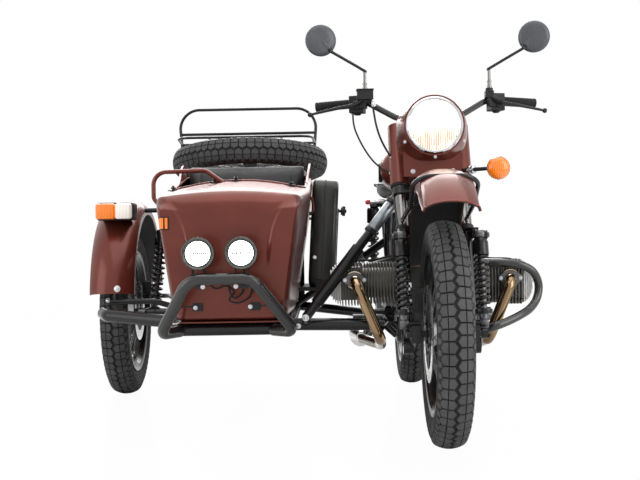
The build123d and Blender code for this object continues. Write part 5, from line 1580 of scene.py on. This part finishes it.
cushion = Shape()
cushion.loft([
    [(TUB_X + px, 960 + (pz - 475), z) for px, _, pz in rounded_ring(0, w, 475 - d / 2, 475 + d / 2, 40)]
    for z, w, d in ((376, 318, 296), (382, 336, 312), (520, 340, 316), (548, 336, 312), (562, 312, 290),
        (568, 280, 260))
])
plump("cushion", cushion, "chassis", "sidecar_cushion", ((TUB_X - 176, 795, 371), (TUB_X + 176, 1125, 580)),
    [(1, y, 5, 6, (0, 0, 1)) for y in (880, 960, 1040)])

back = Shape()
rings = []
for k in range(19):
    t = k / 18
    z = 590 + 344 * t
    width = 432 + 52 * t - 16 * (max(0, t - 0.9) / 0.1) ** 2 - 14 * (max(0, 0.1 - t) / 0.1)
    depth = 82 - 18 * t - 22 * (max(0, t - 0.86) / 0.14) ** 2 - 14 * (max(0, 0.1 - t) / 0.1)
    y_mid = 1175 + 5 * t
    rings.append([(TUB_X + px, y_mid + pz, z) for px, _, pz in rounded_ring(0, width, -depth / 2, depth / 2, 24)])
back.loft(rings)
plump("backrest", back, "chassis", "sidecar_backrest", ((TUB_X - 243, 1127, 586), (TUB_X + 243, 1223, 940)),
    [(0, TUB_X + x, 6, 5, (0, -1, 0)) for x in (-186, 186)] + [(2, 690, 5, 6, (0, -1, 0))])

# ---------------------------------------------------------------- looks of the CAD nodes
for look, names in (
    (BLACK,
     "frame engine_guard fork leading_links mudguard_stay swingarm sidecar_frame side_arm "
     "sidecar_struts sidecar_brackets luggage_rack"),
    (TUBE_BLACK, "nose_bar handlebar"),
    (MAROON,
     "fuel_tank rear_mudguard front_mudguard sidecar_mudguard headlamp_nacelle sidecar_tub boot_lid "
     "grab_rail"),
    (ENGINE_CASE, "engine_block"),
    (ALLOY, "rocker_covers final_drive"),
    # the cylinders take the darkened alloy, painted shade between their fins
    (SHADED_FIN_ALLOY, "cylinders"),
    (HEADER, "exhausts"),
    (PLASTIC, "intake mirrors"),
    (RUBBER, "controls cables"),
    (VINYL, "bench_saddle sidecar_cushion sidecar_backrest"),
    (IRON, "front_shocks rear_shocks front_caliper rear_calipers"),
    (DARK_STEEL, "pedals"),
    (CHROME, "headlamp"),
    (AMBER, "front_indicator tail_lamp"),
    (CLEAR, "sidecar_lamps"),
    (CAN_PAINT, "jerry_can"),
):
    for name in names.split():
        nodes[name].data.materials.clear()
        nodes[name].data.materials.append(look)

# ---------------------------------------------------------------- stage
FLOOR_Z = -0.5
floor = Shape().add([(x, y, FLOOR_Z) for x, y in ((-9000, -6000), (9000, -6000), (9000, 9000), (-9000, 9000))],
    [(0, 1, 2, 3)])


def studio_floor():
    """A white floor that keeps soft shadows and a faint reflection."""
    made = bpy.data.materials.new("studio_floor")
    made.use_nodes = True
    tree = made.node_tree
    shader = tree.nodes["Principled BSDF"]
    shader.inputs["Base Color"].default_value = (0.85, 0.85, 0.85, 1)
    shader.inputs["Roughness"].default_value = 0.12
    shader.inputs["Specular IOR Level"].default_value = 0.6
    output = tree.nodes["Material Output"]
    light = tree.nodes.new("ShaderNodeEmission")
    light.inputs["Strength"].default_value = 1.0
    seen = tree.nodes.new("ShaderNodeLightPath")
    either = tree.nodes.new("ShaderNodeMath")
    either.operation = "MAXIMUM"
    tree.links.new(seen.outputs["Is Camera Ray"], either.inputs[0])
    tree.links.new(seen.outputs["Is Transmission Ray"], either.inputs[1])
    share = tree.nodes.new("ShaderNodeMath")
    share.operation = "MULTIPLY"
    share.inputs[1].default_value = 0.97
    tree.links.new(either.outputs[0], share.inputs[0])
    mix = tree.nodes.new("ShaderNodeMixShader")
    tree.links.new(share.outputs[0], mix.inputs["Fac"])
    tree.links.new(shader.outputs["BSDF"], mix.inputs[1])
    tree.links.new(light.outputs["Emission"], mix.inputs[2])
    tree.links.new(mix.outputs["Shader"], output.inputs["Surface"])
    return made


floor_mesh = bpy.data.meshes.new("floor")
floor_mesh.from_pydata([at(p) for p in floor.points], [], floor.faces)
floor_mesh.materials.append(studio_floor())
linked("floor", floor_mesh)

world = bpy.data.worlds.new("studio")
bpy.context.scene.world = world
world.use_nodes = True
sky = world.node_tree
back = sky.nodes["Background"]
rays = sky.nodes.new("ShaderNodeLightPath")
first = sky.nodes.new("ShaderNodeMath")
first.operation = "MAXIMUM"
second = sky.nodes.new("ShaderNodeMath")
second.operation = "MAXIMUM"
sky.links.new(rays.outputs["Is Camera Ray"], first.inputs[0])
sky.links.new(rays.outputs["Is Glossy Ray"], first.inputs[1])
sky.links.new(first.outputs[0], second.inputs[0])
sky.links.new(rays.outputs["Is Transmission Ray"], second.inputs[1])
level = sky.nodes.new("ShaderNodeMapRange")
level.inputs["To Min"].default_value = 0.48
level.inputs["To Max"].default_value = 1.0
sky.links.new(second.outputs[0], level.inputs["Value"])
sky.links.new(level.outputs["Result"], back.inputs["Strength"])
back.inputs["Color"].default_value = (1, 1, 1, 1)


def softbox(name, where, towards, size, power, mirrored=True):
    """A rectangular studio light; where and towards are in the machine's millimetres, size in metres."""
    data = bpy.data.lights.new(name, "AREA")
    data.shape = "RECTANGLE"
    data.size, data.size_y = size
    data.energy = power
    lamp = linked(name, data)
    lamp.location = at(where)
    lamp.rotation_euler = (at(towards) - at(where)).to_track_quat("-Z", "Y").to_euler()
    lamp.visible_glossy = mirrored


softbox("overhead", (-300, 300, 3600), (-400, 500, 500), (4.0, 4.0), 64)
softbox("right_side", (2600, -1400, 1700), (-300, 300, 600), (2.0, 2.6), 60)
softbox("left_side", (-3600, -1000, 1500), (-500, 500, 600), (2.0, 2.4), 26)
softbox("deck_rim", (-720, 3300, 2600), (-660, 520, 780), (3.2, 2.4), 120)
softbox("front_fill", (-500, -4300, 2300), (-400, 0, 500), (3.0, 1.6), 34, mirrored=False)
